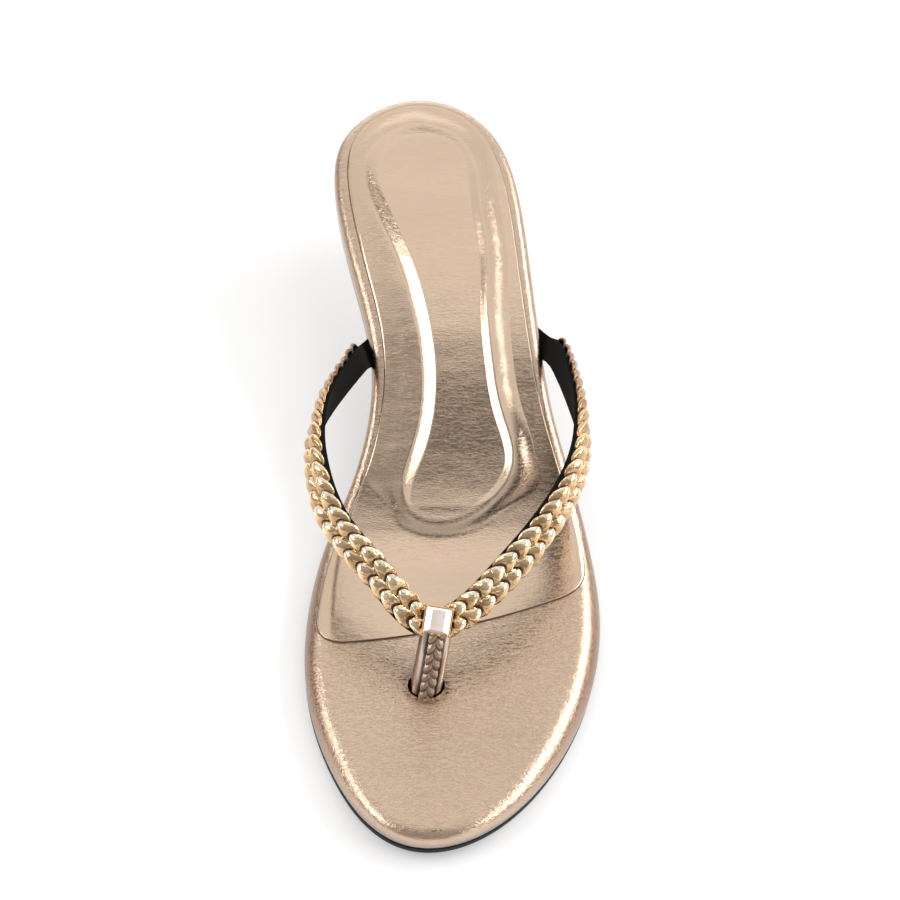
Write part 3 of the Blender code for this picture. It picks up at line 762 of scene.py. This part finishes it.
def make_platform():
    shell = Shell()
    loop = outer_loop
    bottom = inset(loop, LOWER_CORNER)
    base = footbed(loop[:, 1]) - PLATFORM_THICK
    # Painted shade on the side wall and outer shoulder, stronger at some stations than at others.
    side_shade = np.interp(loop[:, 1], *zip(*SIDE_SHADE_SHARE))
    rings = [ring_of(shell, bottom, base, side_shade)]
    rings.append(ring_of(shell, loop, base + LOWER_CORNER, side_shade))
    width, drop = shoulder(loop[:, 1])
    for i in range(SHOULDER_STEPS + 1):
        turn = math.pi / 2 * i / SHOULDER_STEPS
        parts = (math.cos(turn), math.sin(turn))
        out, up = (max(part, 0.0) ** (2 / SHOULDER_POWER) for part in parts)
        narrow = inset(loop, width * (1 - out))
        mark = float(1 - smooth_step(*SIDE_SHADE_TURN, math.degrees(turn))) * side_shade
        rings.append(ring_of(shell, narrow, footbed(narrow[:, 1]) - drop * (1 - up), mark))
    shell.rings(rings)
    cap(shell, rings[0], bottom, lambda x, s: footbed(s) - PLATFORM_THICK, 2)
    cap(shell, rings[-1], narrow, wrap_top, WRAP_COLUMNS)
    return shell.object("platform_wrap", [rose, painted_hole_shade])


def post_frames(rows, step):
    """Frames along a post, and its depth at each step."""
    frames = StrapFrames([(*row[:4], row[5]) for row in rows], step)
    return frames, np.interp(frames.arc, frames.knots, [row[4] for row in rows])


def oval_rings(rows, step, clear, sides, square=1.0):
    """Rings of an oval tube along a post's rows; a square below 1 flattens its front and sides."""
    frames, depth = post_frames(rows, step)
    circle = (np.cos(turns(sides)), np.sin(turns(sides)))
    ovals = [np.sign(part) * np.abs(part) ** square for part in circle]
    rings = []
    for k in range(len(frames.arc)):
        sizes = (frames.width[k] / 2 + clear, depth[k] / 2 + clear)
        wide, deep = ((size * oval)[:, None] for size, oval in zip(sizes, ovals))
        rings.append(frames.path[k] + wide * frames.across[k] + deep * frames.look[k])
    return rings


class StrapFrames:
    """Path of a strap with, at each step, its direction, the way it looks and its width."""

    def __init__(self, rows, step):
        centre = np.array([row[:3] for row in rows], float)
        self.knots = walked(centre)
        count = max(2, round(self.knots[-1] / step)) + 1
        self.arc = np.linspace(0, self.knots[-1], count)
        self.path = spline(self.knots, centre, self.arc)
        self.width = np.interp(self.arc, self.knots, [row[3] for row in rows])
        look = between(self.arc, self.knots, [row[4] for row in rows])
        ahead = unit(np.gradient(self.path, axis=0))
        self.look = unit(look - ahead * (look * ahead).sum(1)[:, None])
        self.across = np.cross(ahead, self.look)

    def at(self, arc):
        """Path point, across and look directions and width at arc lengths."""
        rows = (self.path, self.across, self.look)
        return *(between(arc, self.arc, row) for row in rows), np.interp(arc, self.arc, self.width)


def tube(name, rings, materials, sharp=0, marks=0.0):
    """Closed piece through rings of equal length."""
    shell = Shell()
    made = [shell.add(ring, marks) for ring in rings]
    shell.rings(made)
    shell.face(made[0])
    shell.face(made[-1])
    return shell.object(name, materials, sharp)


def cut_hole(platform):
    """Cuts the toe post's hole through the wrap and gives its wall painted shade."""
    rings = oval_rings([*TOE_POST[2:], POST_HOLE_END], 1.0, POST_HOLE_CLEAR, HOLE_SIDES)
    cutter = tube("hole_cutter", rings, [painted_hole_shade])
    cut = platform.modifiers.new("post_hole", "BOOLEAN")
    cut.operation = "DIFFERENCE"
    cut.solver = "EXACT"
    cut.object = cutter
    cut.material_mode = "TRANSFER"
    bpy.context.view_layer.update()
    graph = bpy.context.evaluated_depsgraph_get()
    mesh = bpy.data.meshes.new_from_object(platform.evaluated_get(graph))
    platform.modifiers.clear()
    platform.data = mesh
    bpy.data.objects.remove(cutter)
    smoothed(mesh, sharp=50)


def plate(name, edge, levels, base, columns, material):
    """Piece of even thickness: rings at its levels over a base height, closed below and above."""
    shell = Shell()
    loops = [inset(edge, narrow) for narrow, _ in levels]
    rings = [ring_of(shell, loop, base(*loop.T) + up) for loop, (_, up) in zip(loops, levels)]
    shell.rings(rings)
    for end, count in zip((0, -1), columns):
        cap(shell, rings[end], loops[end], lambda x, s: base(x, s) + levels[end][1], count)
    return shell.object(name, [material], sharp=40)


def make_outsole():
    share = smooth_step(*OUTSOLE_INSET_STATIONS, outer_loop[:, 1])
    whole = inset(outer_loop, mixed(*OUTSOLE_INSET, share))
    cut = cut_loop(whole, lambda x: breast(x) - GAP, False, OUTSOLE_CORNER, OUTSOLE_ROWS)
    base = lambda x, s: footbed(s) - FOREFOOT_TOP
    return plate("outsole_rubber", cut, OUTSOLE_LEVELS, base, (24, 8), rubber)


# ---- padded footbed

SOCK_ROWS = 400
SOCK_COLUMNS = 210
HOLLOW_POINTS = 800
# Raw edge of the sock: how far outside its outline and how far above the platform each ring lies
SOCK_LIP = ((0.3, -0.1), (0.24, 0.05), (0.02, 0.12), (0.0, SOCK_EDGE_TOP - 0.06))
SOCK_RIM = 0.1
hollow = Border(hollow_outline(HOLLOW_POINTS))


def relief(x, station):
    """Height of the padding: the hollow's floor, a steep inner side, and a fall outwards."""
    offset = hollow.offset(x, station)
    rows = np.array(HOLLOW)
    middle = np.interp(station, rows[:, 0], (rows[:, 1] + rows[:, 2]) / 2)
    outer = smooth_step(-SIDE_BLEND, SIDE_BLEND, x - middle)
    front = 1 - smooth_step(*FRONT_STATIONS, station)

    def pick(medial, lateral, at_front):
        medial, lateral = (np.interp(station, RELIEF_STATIONS, side) for side in (medial, lateral))
        return (medial * (1 - outer) + lateral * outer) * (1 - front) + at_front * front

    floor = np.interp(station, RELIEF_STATIONS, FLOOR_HEIGHT)
    top, climb, fall = pick(*CREST_HEIGHT), pick(*CLIMB_WIDTH), pick(*FALL_WIDTH)
    rise = np.clip(offset / climb, 0, 1)
    sharp = (rise - (1 - CREST_ROUND) * rise**6 / 6) / (1 - (1 - CREST_ROUND) / 6)
    soft = np.maximum(smooth_step(*SOFT_STATIONS, station), front)
    inside = mixed(floor, top, mixed(sharp, smooth_step(0, 1, rise), soft))
    down = np.clip((offset - climb) / fall, 0, 1)
    rounding = mixed(FALL_ROUND, FRONT_ROUND, front)
    outside = top * (1 - down + rounding * np.sin(2 * math.pi * down) / (2 * math.pi))
    return np.where(offset < climb, inside, outside)


def sock_top(x, station):
    return rounded_top(x, station) + SOCK_EDGE_TOP + relief(x, station)


def make_sock():
    shell = Shell()
    share = np.clip(outer_loop[:, 1] / HEEL_BREAST, 0, 1)
    whole = inset(outer_loop, mixed(*SOCK_INSET, share))
    edge = cut_loop(whole, sock_front, True, SOCK_CORNER, SOCK_ROWS)
    rings = []
    for outwards, up in SOCK_LIP:
        loop = inset(edge, -outwards)
        rings.append(ring_of(shell, loop, rounded_top(*loop.T) + up))
    shell.rings(rings, slot=1)
    loop = inset(edge, SOCK_RIM)
    rim = ring_of(shell, loop, rounded_top(*loop.T) + SOCK_EDGE_TOP)
    shell.rings([rings[-1], rim])
    outwards, up = SOCK_LIP[0]
    cap(shell, rings[0], inset(edge, -outwards), lambda x, s: rounded_top(x, s) + up, 16, slot=1)
    cap(shell, rim, loop, sock_top, SOCK_COLUMNS)
    return shell.object("footbed_sock", [sock_leather, cut_edge], sharp=50)


# ---- heel

HEEL_RINGS = 28
HEEL_ROWS = 110
TIP_POINTS = 96
# How far in and how far up each ring of the top piece lies, from the floor up
TIP_LEVELS = ((0.5, 0.0), (0.15, 0.12), (0.0, 0.5), (0.0, TIP_THICK))


def tip_loop(count):
    """D shape of the top piece: flat in front, round behind."""
    angle = turns(count)
    front = np.maximum(0.0, np.cos(angle))
    depth = -np.cos(angle) * TIP_HALF_DEPTH * (1 - TIP_FRONT_FLAT * front**4)
    square = 1 - TIP_FRONT_SQUARE * front
    swell = np.sign(np.sin(angle)) * np.abs(np.sin(angle)) ** square
    return np.column_stack([TIP_CENTRE[0] + TIP_HALF_WIDTH * swell, TIP_CENTRE[1] + depth])


def make_heel():
    shell = Shell()
    seat = cut_loop(inset(outer_loop, HEEL_INSET), breast, True, SEAT_CORNER, HEEL_ROWS)
    foot = tip_loop(len(seat))
    under_seat = footbed(seat[:, 1]) - PLATFORM_THICK - GAP
    base = TIP_THICK + GAP
    rings = []
    for i in range(HEEL_RINGS + 1):
        up = i / HEEL_RINGS
        loop = mixed(foot, seat, up**HEEL_WAIST)
        rings.append(ring_of(shell, loop, mixed(base, under_seat, up)))
    shell.rings(rings)
    cap(shell, rings[0], foot, lambda x, s: np.full(len(x), base), 6)
    cap(shell, rings[-1], seat, lambda x, s: footbed(s) - PLATFORM_THICK - GAP, 6)
    return shell.object("heel_wrap", [heel_leather], sharp=40)


def make_heel_tip():
    base = lambda x, s: np.zeros(len(x))
    return plate("heel_top_piece", tip_loop(TIP_POINTS), TIP_LEVELS, base, (6, 6), rubber)


# ---- straps

SECTION_STEPS = 160


class Section:
    """Outer side of a strap, by the distance walked from its middle: two ridges and a groove."""

    def __init__(self, profile):
        profile = np.array(profile, float)
        knots = walked(profile)
        side = spline(knots, profile, np.linspace(0, knots[-1], SECTION_STEPS))
        self.points = np.vstack([side[:0:-1] * (-1, 1), side])
        steps = walked(self.points)
        self.lengths = steps - steps[len(side) - 1]
        slope = unit(np.gradient(self.points, axis=0))
        self.out = np.column_stack([-slope[:, 1], slope[:, 0]])
        self.reach = self.lengths[-1]

    def at(self, length, lift):
        """Across and height of the point this far round, lifted off the section."""
        point, out = (between(length, self.lengths, rows) for rows in (self.points, self.out))
        return point.T + out.T * lift


def strap_rows(rows, tuck, loop):
    """A strap's rows with those of its end, which goes in under the platform."""
    side, station = tuck
    edge = half_of(loop, side)
    edge_x = float(np.interp(station, edge[:, 1], edge[:, 0]))
    turn = math.radians(TUCK_TURN)
    extra = []
    for along, lean in TUCK:
        x = edge_x - side * along * math.cos(turn)
        at = station + along * math.sin(turn)
        near, far = (float(footbed(at + d)[0]) for d in (-1.0, 1.0))
        height = (near + far) / 2 - PLATFORM_THICK + TUCK_DEPTH + GAP
        extra.append((x, at, height, STRAP_WIDTH, (side * lean, (far - near) / 2, -1.0)))
    return [*rows, *extra]


# Lengthwise section of a loop: distance back from its free edge, height
LOOP_BACK = (0.0, 0.04, 0.12, 0.25, 0.5, 0.9, 1.4, 2.0, 2.8, 3.6, 4.4, 5.25, 5.6, 6.2, 7.0)
LOOP_LIFT = (
    *(-0.9, -0.5, -0.25, -0.06, 0.12, 0.34, 0.56, 0.74),
    *(0.84, 0.68, 0.30, -0.24, -0.5, -0.9, -1.4),
)
# Free edge of a loop seen from above: distance from the strap's middle, how far it falls back
EDGE_WALK = (-0.9, -0.4, 0.0, 0.7, 1.5, 2.5, 3.4, 4.2, 4.9, 5.6, 6.3, 7.0)
EDGE_FALL = (3.6, 2.8, 2.1, 1.0, 0.3, 0.0, 0.12, 0.6, 1.35, 2.3, 3.3, 4.1)
# Arc lengths between which the gold turns rosier
ROSE_ARCS = (45.0, 110.0)
# Colour mark along a loop, low for the painted highlight near its free edge and high for the
# painted shade of the edge itself and the root: distance back from its free edge, mark
LOOP_PAINTED_LIGHT = ((0.0, 0.6), (0.4, 0.35), (1.1, 0.0), (2.1, 0.05), (3.0, 0.35), (4.8, 0.8))
# Rows of a loop painted with shade along its free edge, and the row where the painted shade of its
# root starts
EDGE_ROWS = 3
BACK_ROWS = 11
STRAP_COLUMNS = 17
LOOP_START = -0.9
LOOP_MIDDLE = 2.5
LOOP_THICK = 0.55
# Most that a loop is tilted, raised and slipped along the strap by chance
LOOP_CHANCE = (0.18, 0.08, 0.2)
# How a loop dips at the strap's middle and at its own outer end: depth, start, width, power
MIDDLE_DIP = (1.0, 0.7, 1.6, 1.5)
OUTER_DIP = (0.5, 0.7, 0.7, 2)


def dip(walk, depth, start, width, power):
    return depth * np.clip((start + walk) / width, 0, 1) ** power


def add_loop(shell, frames, section, arc, side, size, chance, reach, falls=EDGE_FALL):
    """One puffed loop of the braid, its free edge towards the heel, most so near the middle."""
    walk = np.linspace(LOOP_START, reach, STRAP_COLUMNS)
    fall = spline(EDGE_WALK, falls, walk)[:, 0]
    tilt, puff, slip = (chance.uniform(-most, most) for most in LOOP_CHANCE)
    middle_dip = dip(-walk, *MIDDLE_DIP)
    outer_dip = dip(walk - reach, *OUTER_DIP)
    rosy = float(smooth_step(*ROSE_ARCS, arc))
    made, below = [], []
    for back, lift in zip(LOOP_BACK, LOOP_LIFT):
        path, across, look, _ = frames.at(arc + (slip - fall - back) * size)
        leaning = tilt * (walk - LOOP_MIDDLE) / LOOP_MIDDLE
        high = (lift + puff + leaning - middle_dip - outer_dip) * size
        # Painted highlight near the free edge, painted shade at the edge itself and at the root.
        tone = np.interp(back, *zip(*LOOP_PAINTED_LIGHT))
        tone = float(mixed(tone, 1, rosy))
        for rows, raised in ((made, high), (below, high - LOOP_THICK * size)):
            flat, up = section.at(side * walk, raised / size)
            row = path + across * (flat * size)[:, None] + look * (up * size)[:, None]
            rows.append(shell.add(row, tone))
    # Slot 1 paints shade on the free edge, the root, the underside, the ends and the sides.
    shell.rings(made[: EDGE_ROWS + 1], slot=1, closed=False)
    shell.rings(made[EDGE_ROWS : BACK_ROWS + 1], closed=False)
    shell.rings(made[BACK_ROWS:], slot=1, closed=False)
    shell.rings([line[::-1] for line in below], slot=1, closed=False)
    for a, b in ((made[0], below[0]), (made[-1], below[-1])):
        shell.rings([a, b], slot=1, closed=False)
    for edge in (0, -1):
        sides = [[line[edge] for line in rows] for rows in (made, below)]
        shell.rings(sides, slot=1, closed=False)


STRAP_SECTION = Section(
    (
        *((0.0, 0.85), (0.8, 1.3), (1.6, 1.68), (2.4, 1.82), (3.2, 1.62)),
        *((4.0, 0.98), (4.6, 0.15), (4.9, -0.7), (4.9, -1.4)),
    )
)
STRAP_REACH = 6.5
SLIM = 0.88
# Arc lengths along a strap, and the step from loop to loop there
PITCH_ARCS = (35.0, 60.0)
LOOP_PITCH = (5.05, 4.5)
# Arc lengths of each braid's first loop and end
INNER_LOOPS = (5.7, 116.0)
OUTER_LOOPS = (5.8, 120.0)
LINING_SECTION = Section(
    ((0.0, 0.3), (0.9, 0.7), (1.9, 0.95), (3.0, 0.6), (4.0, -0.1), (4.6, -0.5))
)
# Side and back of the lining: across, height; beyond this distance it slides sideways
LINING_BACK = ((4.7, -0.75), (4.8, -0.95), (4.8, -1.8), (4.65, -2.05), (2.5, -2.1), (0.0, -2.1))
LINING_WING = 4.5
# Arc lengths, and the share of its width that the lining keeps there
LINING_SLIM = ((75.0, 100.0), (1.0, 0.85))
# How far each lining's edges slide across the strap: arc length, slide
INNER_SLIDE = ((0, -0.8), (18, -0.4), (35, 0.1), (60, 0.6), (85, -0.3), (115, -1.0))
OUTER_SLIDE = ((0, -0.1), (30, -0.4), (60, -0.6), (85, 0.3), (115, 1.0))


def loop_arcs(first, last):
    """Where the loops' tips lie: they close up a little towards the strap's bulge."""
    arcs = [first]
    while arcs[-1] < last:
        arcs.append(arcs[-1] + np.interp(arcs[-1], PITCH_ARCS, LOOP_PITCH))
    return arcs


def make_braid(name, frames, first, last, inner_side, seed):
    """Both columns of loops down a strap, half a pitch apart."""
    chance = random.Random(seed)
    shell = Shell()
    arcs = loop_arcs(first, last)
    for near, far in zip(arcs, arcs[1:]):
        for side, arc in ((inner_side, near), (-inner_side, (near + far) / 2)):
            size = float(frames.at(arc)[3]) / STRAP_WIDTH * SLIM
            add_loop(shell, frames, STRAP_SECTION, arc, side, size, chance, STRAP_REACH)
    return shell.object(name, [gold_foil, braid_gap_shade])


def make_lining(name, frames, slide):
    """Black lining behind the braid; slide moves its edges across the strap, by arc length."""
    walk = np.linspace(-LINING_SECTION.reach, LINING_SECTION.reach, STRAP_COLUMNS)
    front = LINING_SECTION.at(walk, 0.0).T
    back = np.array(LINING_BACK)
    across, height = np.vstack([front, back, back[::-1][1:] * (-1, 1)]).T
    rings = []
    for k, arc in enumerate(frames.arc):
        size = frames.width[k] / STRAP_WIDTH * SLIM * np.interp(arc, *LINING_SLIM)
        moved = (across + np.interp(arc, *zip(*slide)) * (np.abs(across) > LINING_WING)) * size
        ring = frames.path[k] + moved[:, None] * frames.across[k]
        rings.append(ring + (height * size)[:, None] * frames.look[k])
    return tube(name, rings, [suede], sharp=50)


# ---- toe post

POST_SQUARE = 0.75
POST_SIDES = 96
# Shares of the post's half width where it turns to painted shade at its edge, and where the painted
# shade down its middle, under and beside the chain, gives way to its own pale colour
POST_EDGE_SHADE = (0.80, 0.92)
POST_MIDDLE_SHADE = (0.58, 0.69)
CHAIN_PITCH = 3.0
CHAIN_SIZE = 0.53
# How deep the chain's back lies in the post, and its arc lengths clear of the post's two ends
CHAIN_SINK = 0.15
CHAIN_START = 2.0
CHAIN_END = 1.0
CHAIN_REACH = 4.4
CHAIN_FALL = (4.0, 3.3, 2.8, 2.0, 1.2, 0.4, 0.0, 0.5, 1.9, 3.4, 4.9, 6.0)
CHAIN_SECTION = Section(((0.0, 0.5), (0.9, 1.1), (1.9, 1.4), (3.0, 1.1), (4.0, 0.3), (4.6, -0.4)))


def make_post():
    rings = oval_rings(TOE_POST, 0.8, 0.0, POST_SIDES, POST_SQUARE)
    across = np.abs(np.cos(turns(POST_SIDES))) ** POST_SQUARE
    # Painted shade: marks at the post's edges and down its middle under the chain.
    marks = np.maximum(smooth_step(*POST_EDGE_SHADE, across), 1 - smooth_step(*POST_MIDDLE_SHADE, across))
    return tube("toe_post", rings, [pewter], sharp=60, marks=marks)


def make_chain():
    """Narrow braid down the front of the toe post."""
    chance = random.Random(7)
    frames, depth = post_frames(TOE_POST, 0.5)
    frames.path = frames.path + frames.look * (depth / 2 - CHAIN_SINK)[:, None]
    shell = Shell()
    arc = frames.arc[-1] - CHAIN_END
    while arc > CHAIN_START:
        for side, lag in ((-1, 0.0), (1, 0.5)):
            place = (arc - lag * CHAIN_PITCH, side, CHAIN_SIZE)
            add_loop(shell, frames, CHAIN_SECTION, *place, chance, CHAIN_REACH, CHAIN_FALL)
        arc -= CHAIN_PITCH
    return shell.object("post_chain", [chain_leather, chain_gap_shade])


# ---- stone and setting

# The cup from below: share of its width, height from its zero and then from its rim
CUP_FOOT = ((0.92, -0.7), (0.97, -0.2))
CUP_RIM = ((1.0, -0.5), (0.99, -0.15), (0.96, 0.0))
CUP_DEPTH = 1.0
# The cup's rim below its height, the claw beads at the corners and the pair towards the toe
RIM_DROP = 0.25
BEAD_OUT = 0.15
CLAW_RADIUS = 0.55
PAIR_APART = 0.95
PAIR_OUT = 0.2
PAIR_RADIUS = 0.42


def stone_frame():
    """Frame of the stone in metres: +Z out of its table, +Y away from the toe post."""
    out = Vector(STONE_FACES).normalized()
    post = Vector(TOE_POST[0][:3]) - Vector(TOE_POST[2][:3])
    up = (post - out * post.dot(out)).normalized()
    turned = Matrix((up.cross(out), up, out)).transposed().to_4x4()
    x, station, height = STONE_PLACE
    spot = Vector((x * MM + side_shift, station * MM + toe_y, height * MM))
    return Matrix.Translation(spot) @ turned


def framed(name, bm, material):
    """Object of a bmesh given in millimetres in the stone's frame."""
    bm.transform(stone_frame() @ Matrix.Scale(MM, 4))
    mesh = bpy.data.meshes.new(name)
    bm.to_mesh(mesh)
    bm.free()
    mesh.materials.append(material)
    smoothed(mesh, sharp=25)
    return linked(name, mesh)


def step_cut(side, rows):
    """Stack of rectangles (share of the side across, share along, height), closed at both ends."""
    bm = bmesh.new()
    rings = []
    for across, along, height in rows:
        x_half, y_half = side * across / 2, side * along / 2
        corners = ((-x_half, -y_half), (x_half, -y_half), (x_half, y_half), (-x_half, y_half))
        rings.append([bm.verts.new((x, y, height)) for x, y in corners])
    for low, high in zip(rings, rings[1:]):
        for i in range(4):
            j = (i + 1) % 4
            bm.faces.new((low[i], low[j], high[j], high[i]))
    bm.faces.new(rings[0][::-1])
    bm.faces.new(rings[-1])
    return bm


def make_stone():
    crown = ((1.0, 1.0, STONE_HEIGHT - CROWN_DROP), (*STONE_TABLE, STONE_HEIGHT))
    rows = (*STONE_FOOT, *crown)
    obj = framed("stone_gem", step_cut(STONE_SIDE, rows), pearl)
    edge = obj.modifiers.new("bevel", "BEVEL")
    edge.width = STONE_BEVEL[0] * MM
    edge.segments = 3
    edge.limit_method = "ANGLE"
    edge.angle_limit = math.radians(STONE_BEVEL[1])
    return obj


def make_setting():
    side = STONE_SIDE + 2 * (SETTING_GAP + SETTING_WALL)
    top = SETTING_HEIGHT - RIM_DROP
    share = (STONE_SIDE + SETTING_GAP) / side
    rim = (*CUP_RIM, (share, 0.0), (share, -CUP_DEPTH))
    rows = (*CUP_FOOT, *((width, top + height) for width, height in rim))
    bm = step_cut(side, [(width, width, height) for width, height in rows])
    reach = STONE_SIDE / 2 + BEAD_OUT
    beads = [(x * reach, y * reach, CLAW_RADIUS) for x in (-1, 1) for y in (-1, 1)]
    beads += [(x * PAIR_APART, -reach - PAIR_OUT, PAIR_RADIUS) for x in (-1, 1)]
    for x, y, radius in beads:
        made = bmesh.ops.create_uvsphere(bm, u_segments=20, v_segments=14, radius=radius)
        bmesh.ops.translate(bm, verts=made["verts"], vec=(x, y, top))
    return framed("stone_setting", bm, gold_metal)


# ---- assembly

platform_wrap = make_platform()
cut_hole(platform_wrap)
outsole_rubber = make_outsole()
sock = make_sock()
heel_wrap = make_heel()
heel_piece = make_heel_tip()

inner_frames = StrapFrames(strap_rows(INNER_STRAP, INNER_TUCK, outer_loop), 0.5)
outer_frames = StrapFrames(strap_rows(OUTER_STRAP, OUTER_TUCK, outer_loop), 0.5)
inner_lining = make_lining("inner_lining", inner_frames, INNER_SLIDE)
outer_lining = make_lining("outer_lining", outer_frames, OUTER_SLIDE)
inner_braid = make_braid("inner_braid", inner_frames, *INNER_LOOPS, 1, seed=3)
outer_braid = make_braid("outer_braid", outer_frames, *OUTER_LOOPS, -1, seed=5)
post = make_post()
chain = make_chain()
gem = make_stone()
setting = make_setting()

for piece, slot_name in (
    (platform_wrap, "wrapped_board"),
    (outsole_rubber, "sole_rubber"),
    (sock, "footbed_leather"),
    (heel_wrap, "heel_leather"),
    (heel_piece, "tip_rubber"),
    (inner_lining, "strap_lining"),
    (outer_lining, "strap_lining"),
    (inner_braid, "strap_leather"),
    (outer_braid, "strap_leather"),
    (post, "post_leather"),
    (chain, "post_leather"),
    (gem, "stone"),
    (setting, "setting_metal"),
):
    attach(piece, "root")
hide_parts("platform")
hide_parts("outsole")
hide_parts("sock")
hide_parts("heel")
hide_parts("heel_tip")
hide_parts("upper")
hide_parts("stone")
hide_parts("setting")


# ---- floor, light and camera

# Sky in front and behind, and the angles off +Y over which the one gives way to the other
SKY_FRONT, SKY_BACK = 0.46, 0.81
SKY_TURN = (125, 75)
# Patches over it, in this order: axis, angles off it where the patch starts and is full,
# brightness. Above, horizon behind, left, right, low in front, and two near straight above.
SKY_PATCHES = (
    ((0, 0.05, 1), 40, 5, 0.97),
    ((0, 1, 0), 42, 22, 1.5),
    ((-0.86, 0.50, 0.06), 30, 15, 0.36),
    ((0.58, 0.64, 0.50), 13, 5, 0.26),
    ((0.72, -0.69, 0.06), 17, 9, 1.7),
    ((-0.36, -0.12, 0.925), 17, 7, 0.3),
    ((0.03, -0.175, 0.985), 16, 6, 0.12),
)
FLOOR_HALF = 6.0
# Soft boxes: lean off straight up, bearing from the heel's direction, distance, size, brightness
LEFT_BOX = (54, -95, 1.0, (0.68, 0.28), 4.6)
RIGHT_BOX = (55, 83, 1.0, (1.26, 0.30), 4.8)
LIGHT_TARGET = (0, 0.0, 0.02)
CAMERA_PLACE = (-0.0454, -0.4224, 0.6144)
CAMERA_ELEVATION = 55.0
CAMERA_LENS = 99.0


def make_floor():
    signs = ((-1, -1), (1, -1), (1, 1), (-1, 1))
    mesh = bpy.data.meshes.new("floor")
    mesh.from_pydata([(x * FLOOR_HALF, y * FLOOR_HALF, 0) for x, y in signs], [], [(0, 1, 2, 3)])
    made = Nodes(bpy.data.materials.new("floor"))
    tone = made.noise((3, 3, 3), Detail=2.0)
    paint = made.ramp(tone, "Fac", ((0.3, (0.90, 0.90, 0.90)), (0.7, (0.93, 0.93, 0.93))))
    made.link(paint, "Color", made.shader, "Base Color")
    made.set(Roughness=0.6, Specular_IOR_Level=0.2, Emission_Strength=0.25)
    made.set(Emission_Color=(1.0, 1.0, 1.0, 1.0))
    mesh.materials.append(made.owner)
    linked("floor", mesh)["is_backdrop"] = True


def make_world():
    """Bright sweep behind the shoe, darker in front, with patches that its metal mirrors."""
    made = Nodes(bpy.data.worlds.new("studio"), "Background")
    bpy.context.scene.world = made.owner
    where = made.add("TexCoord")

    def share(axis, none, full):
        """From 0 to 1 as a direction turns from one angle off the axis to the other."""
        dot = made.add("VectorMath", operation="DOT_PRODUCT")
        dot.inputs[1].default_value = Vector(axis).normalized()
        made.link(where, "Generated", dot, 0)
        low, high = math.cos(math.radians(none)), math.cos(math.radians(full))
        ease = made.add("MapRange", From_Min=low, From_Max=high)
        ease.interpolation_type = "SMOOTHSTEP"
        made.link(dot, "Value", ease, "Value")
        return ease

    def blend(factor, low, high):
        mix = made.add("Mix")
        made.link(factor, "Result", mix, "Factor")
        for socket, value in ((2, low), (3, high)):
            if isinstance(value, float):
                mix.inputs[socket].default_value = value
            else:
                made.link(value, 0, mix, socket)
        return mix

    level = blend(share((0, 1, 0), *SKY_TURN), SKY_FRONT, SKY_BACK)
    for axis, none, full, brightness in SKY_PATCHES:
        level = blend(share(axis, none, full), level, brightness)
    made.link(level, 0, made.shader, "Strength")
    made.set(Color=(1.0, 1.0, 1.0, 1.0))


def aimed(name, data, place, turn):
    obj = linked(name, data)
    obj.location = place
    obj.rotation_mode = "QUATERNION"
    obj.rotation_quaternion = turn
    return obj


def soft_box(name, lean, bearing, distance, size, brightness):
    """Light at an angle off straight up and a bearing from the heel's direction, in degrees."""
    lean, bearing = math.radians(lean), math.radians(bearing)
    out = math.sin(lean)
    way = Vector((out * math.sin(bearing), out * math.cos(bearing), math.cos(lean)))
    data = bpy.data.lights.new(name, "AREA")
    data.shape = "RECTANGLE"
    data.size, data.size_y = size
    data.energy = math.pi * size[0] * size[1] * brightness
    aimed(name, data, Vector(LIGHT_TARGET) + way * distance, (-way).to_track_quat("-Z", "Y"))


def make_camera():
    """Camera above and in front of the toe, upright for the pair and turned to this shoe."""
    low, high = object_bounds()
    place = Vector(CAMERA_PLACE)
    elevation = math.radians(CAMERA_ELEVATION)
    ahead = ((low + high) / 2 - place).normalized()
    right = ahead.cross(Vector((0, math.sin(elevation), math.cos(elevation)))).normalized()
    turn = Matrix((right, right.cross(ahead), -ahead)).transposed()
    data = bpy.data.cameras.new("camera")
    data.sensor_width = 36.0
    data.lens = CAMERA_LENS
    data.clip_start = 0.01
    data.clip_end = 20.0
    bpy.context.scene.camera = aimed("camera", data, place, turn.to_quaternion())


make_floor()
make_world()
soft_box("left_box", *LEFT_BOX)
soft_box("right_box", *RIGHT_BOX)
make_camera()
bpy.context.scene.view_settings.view_transform = "Standard"
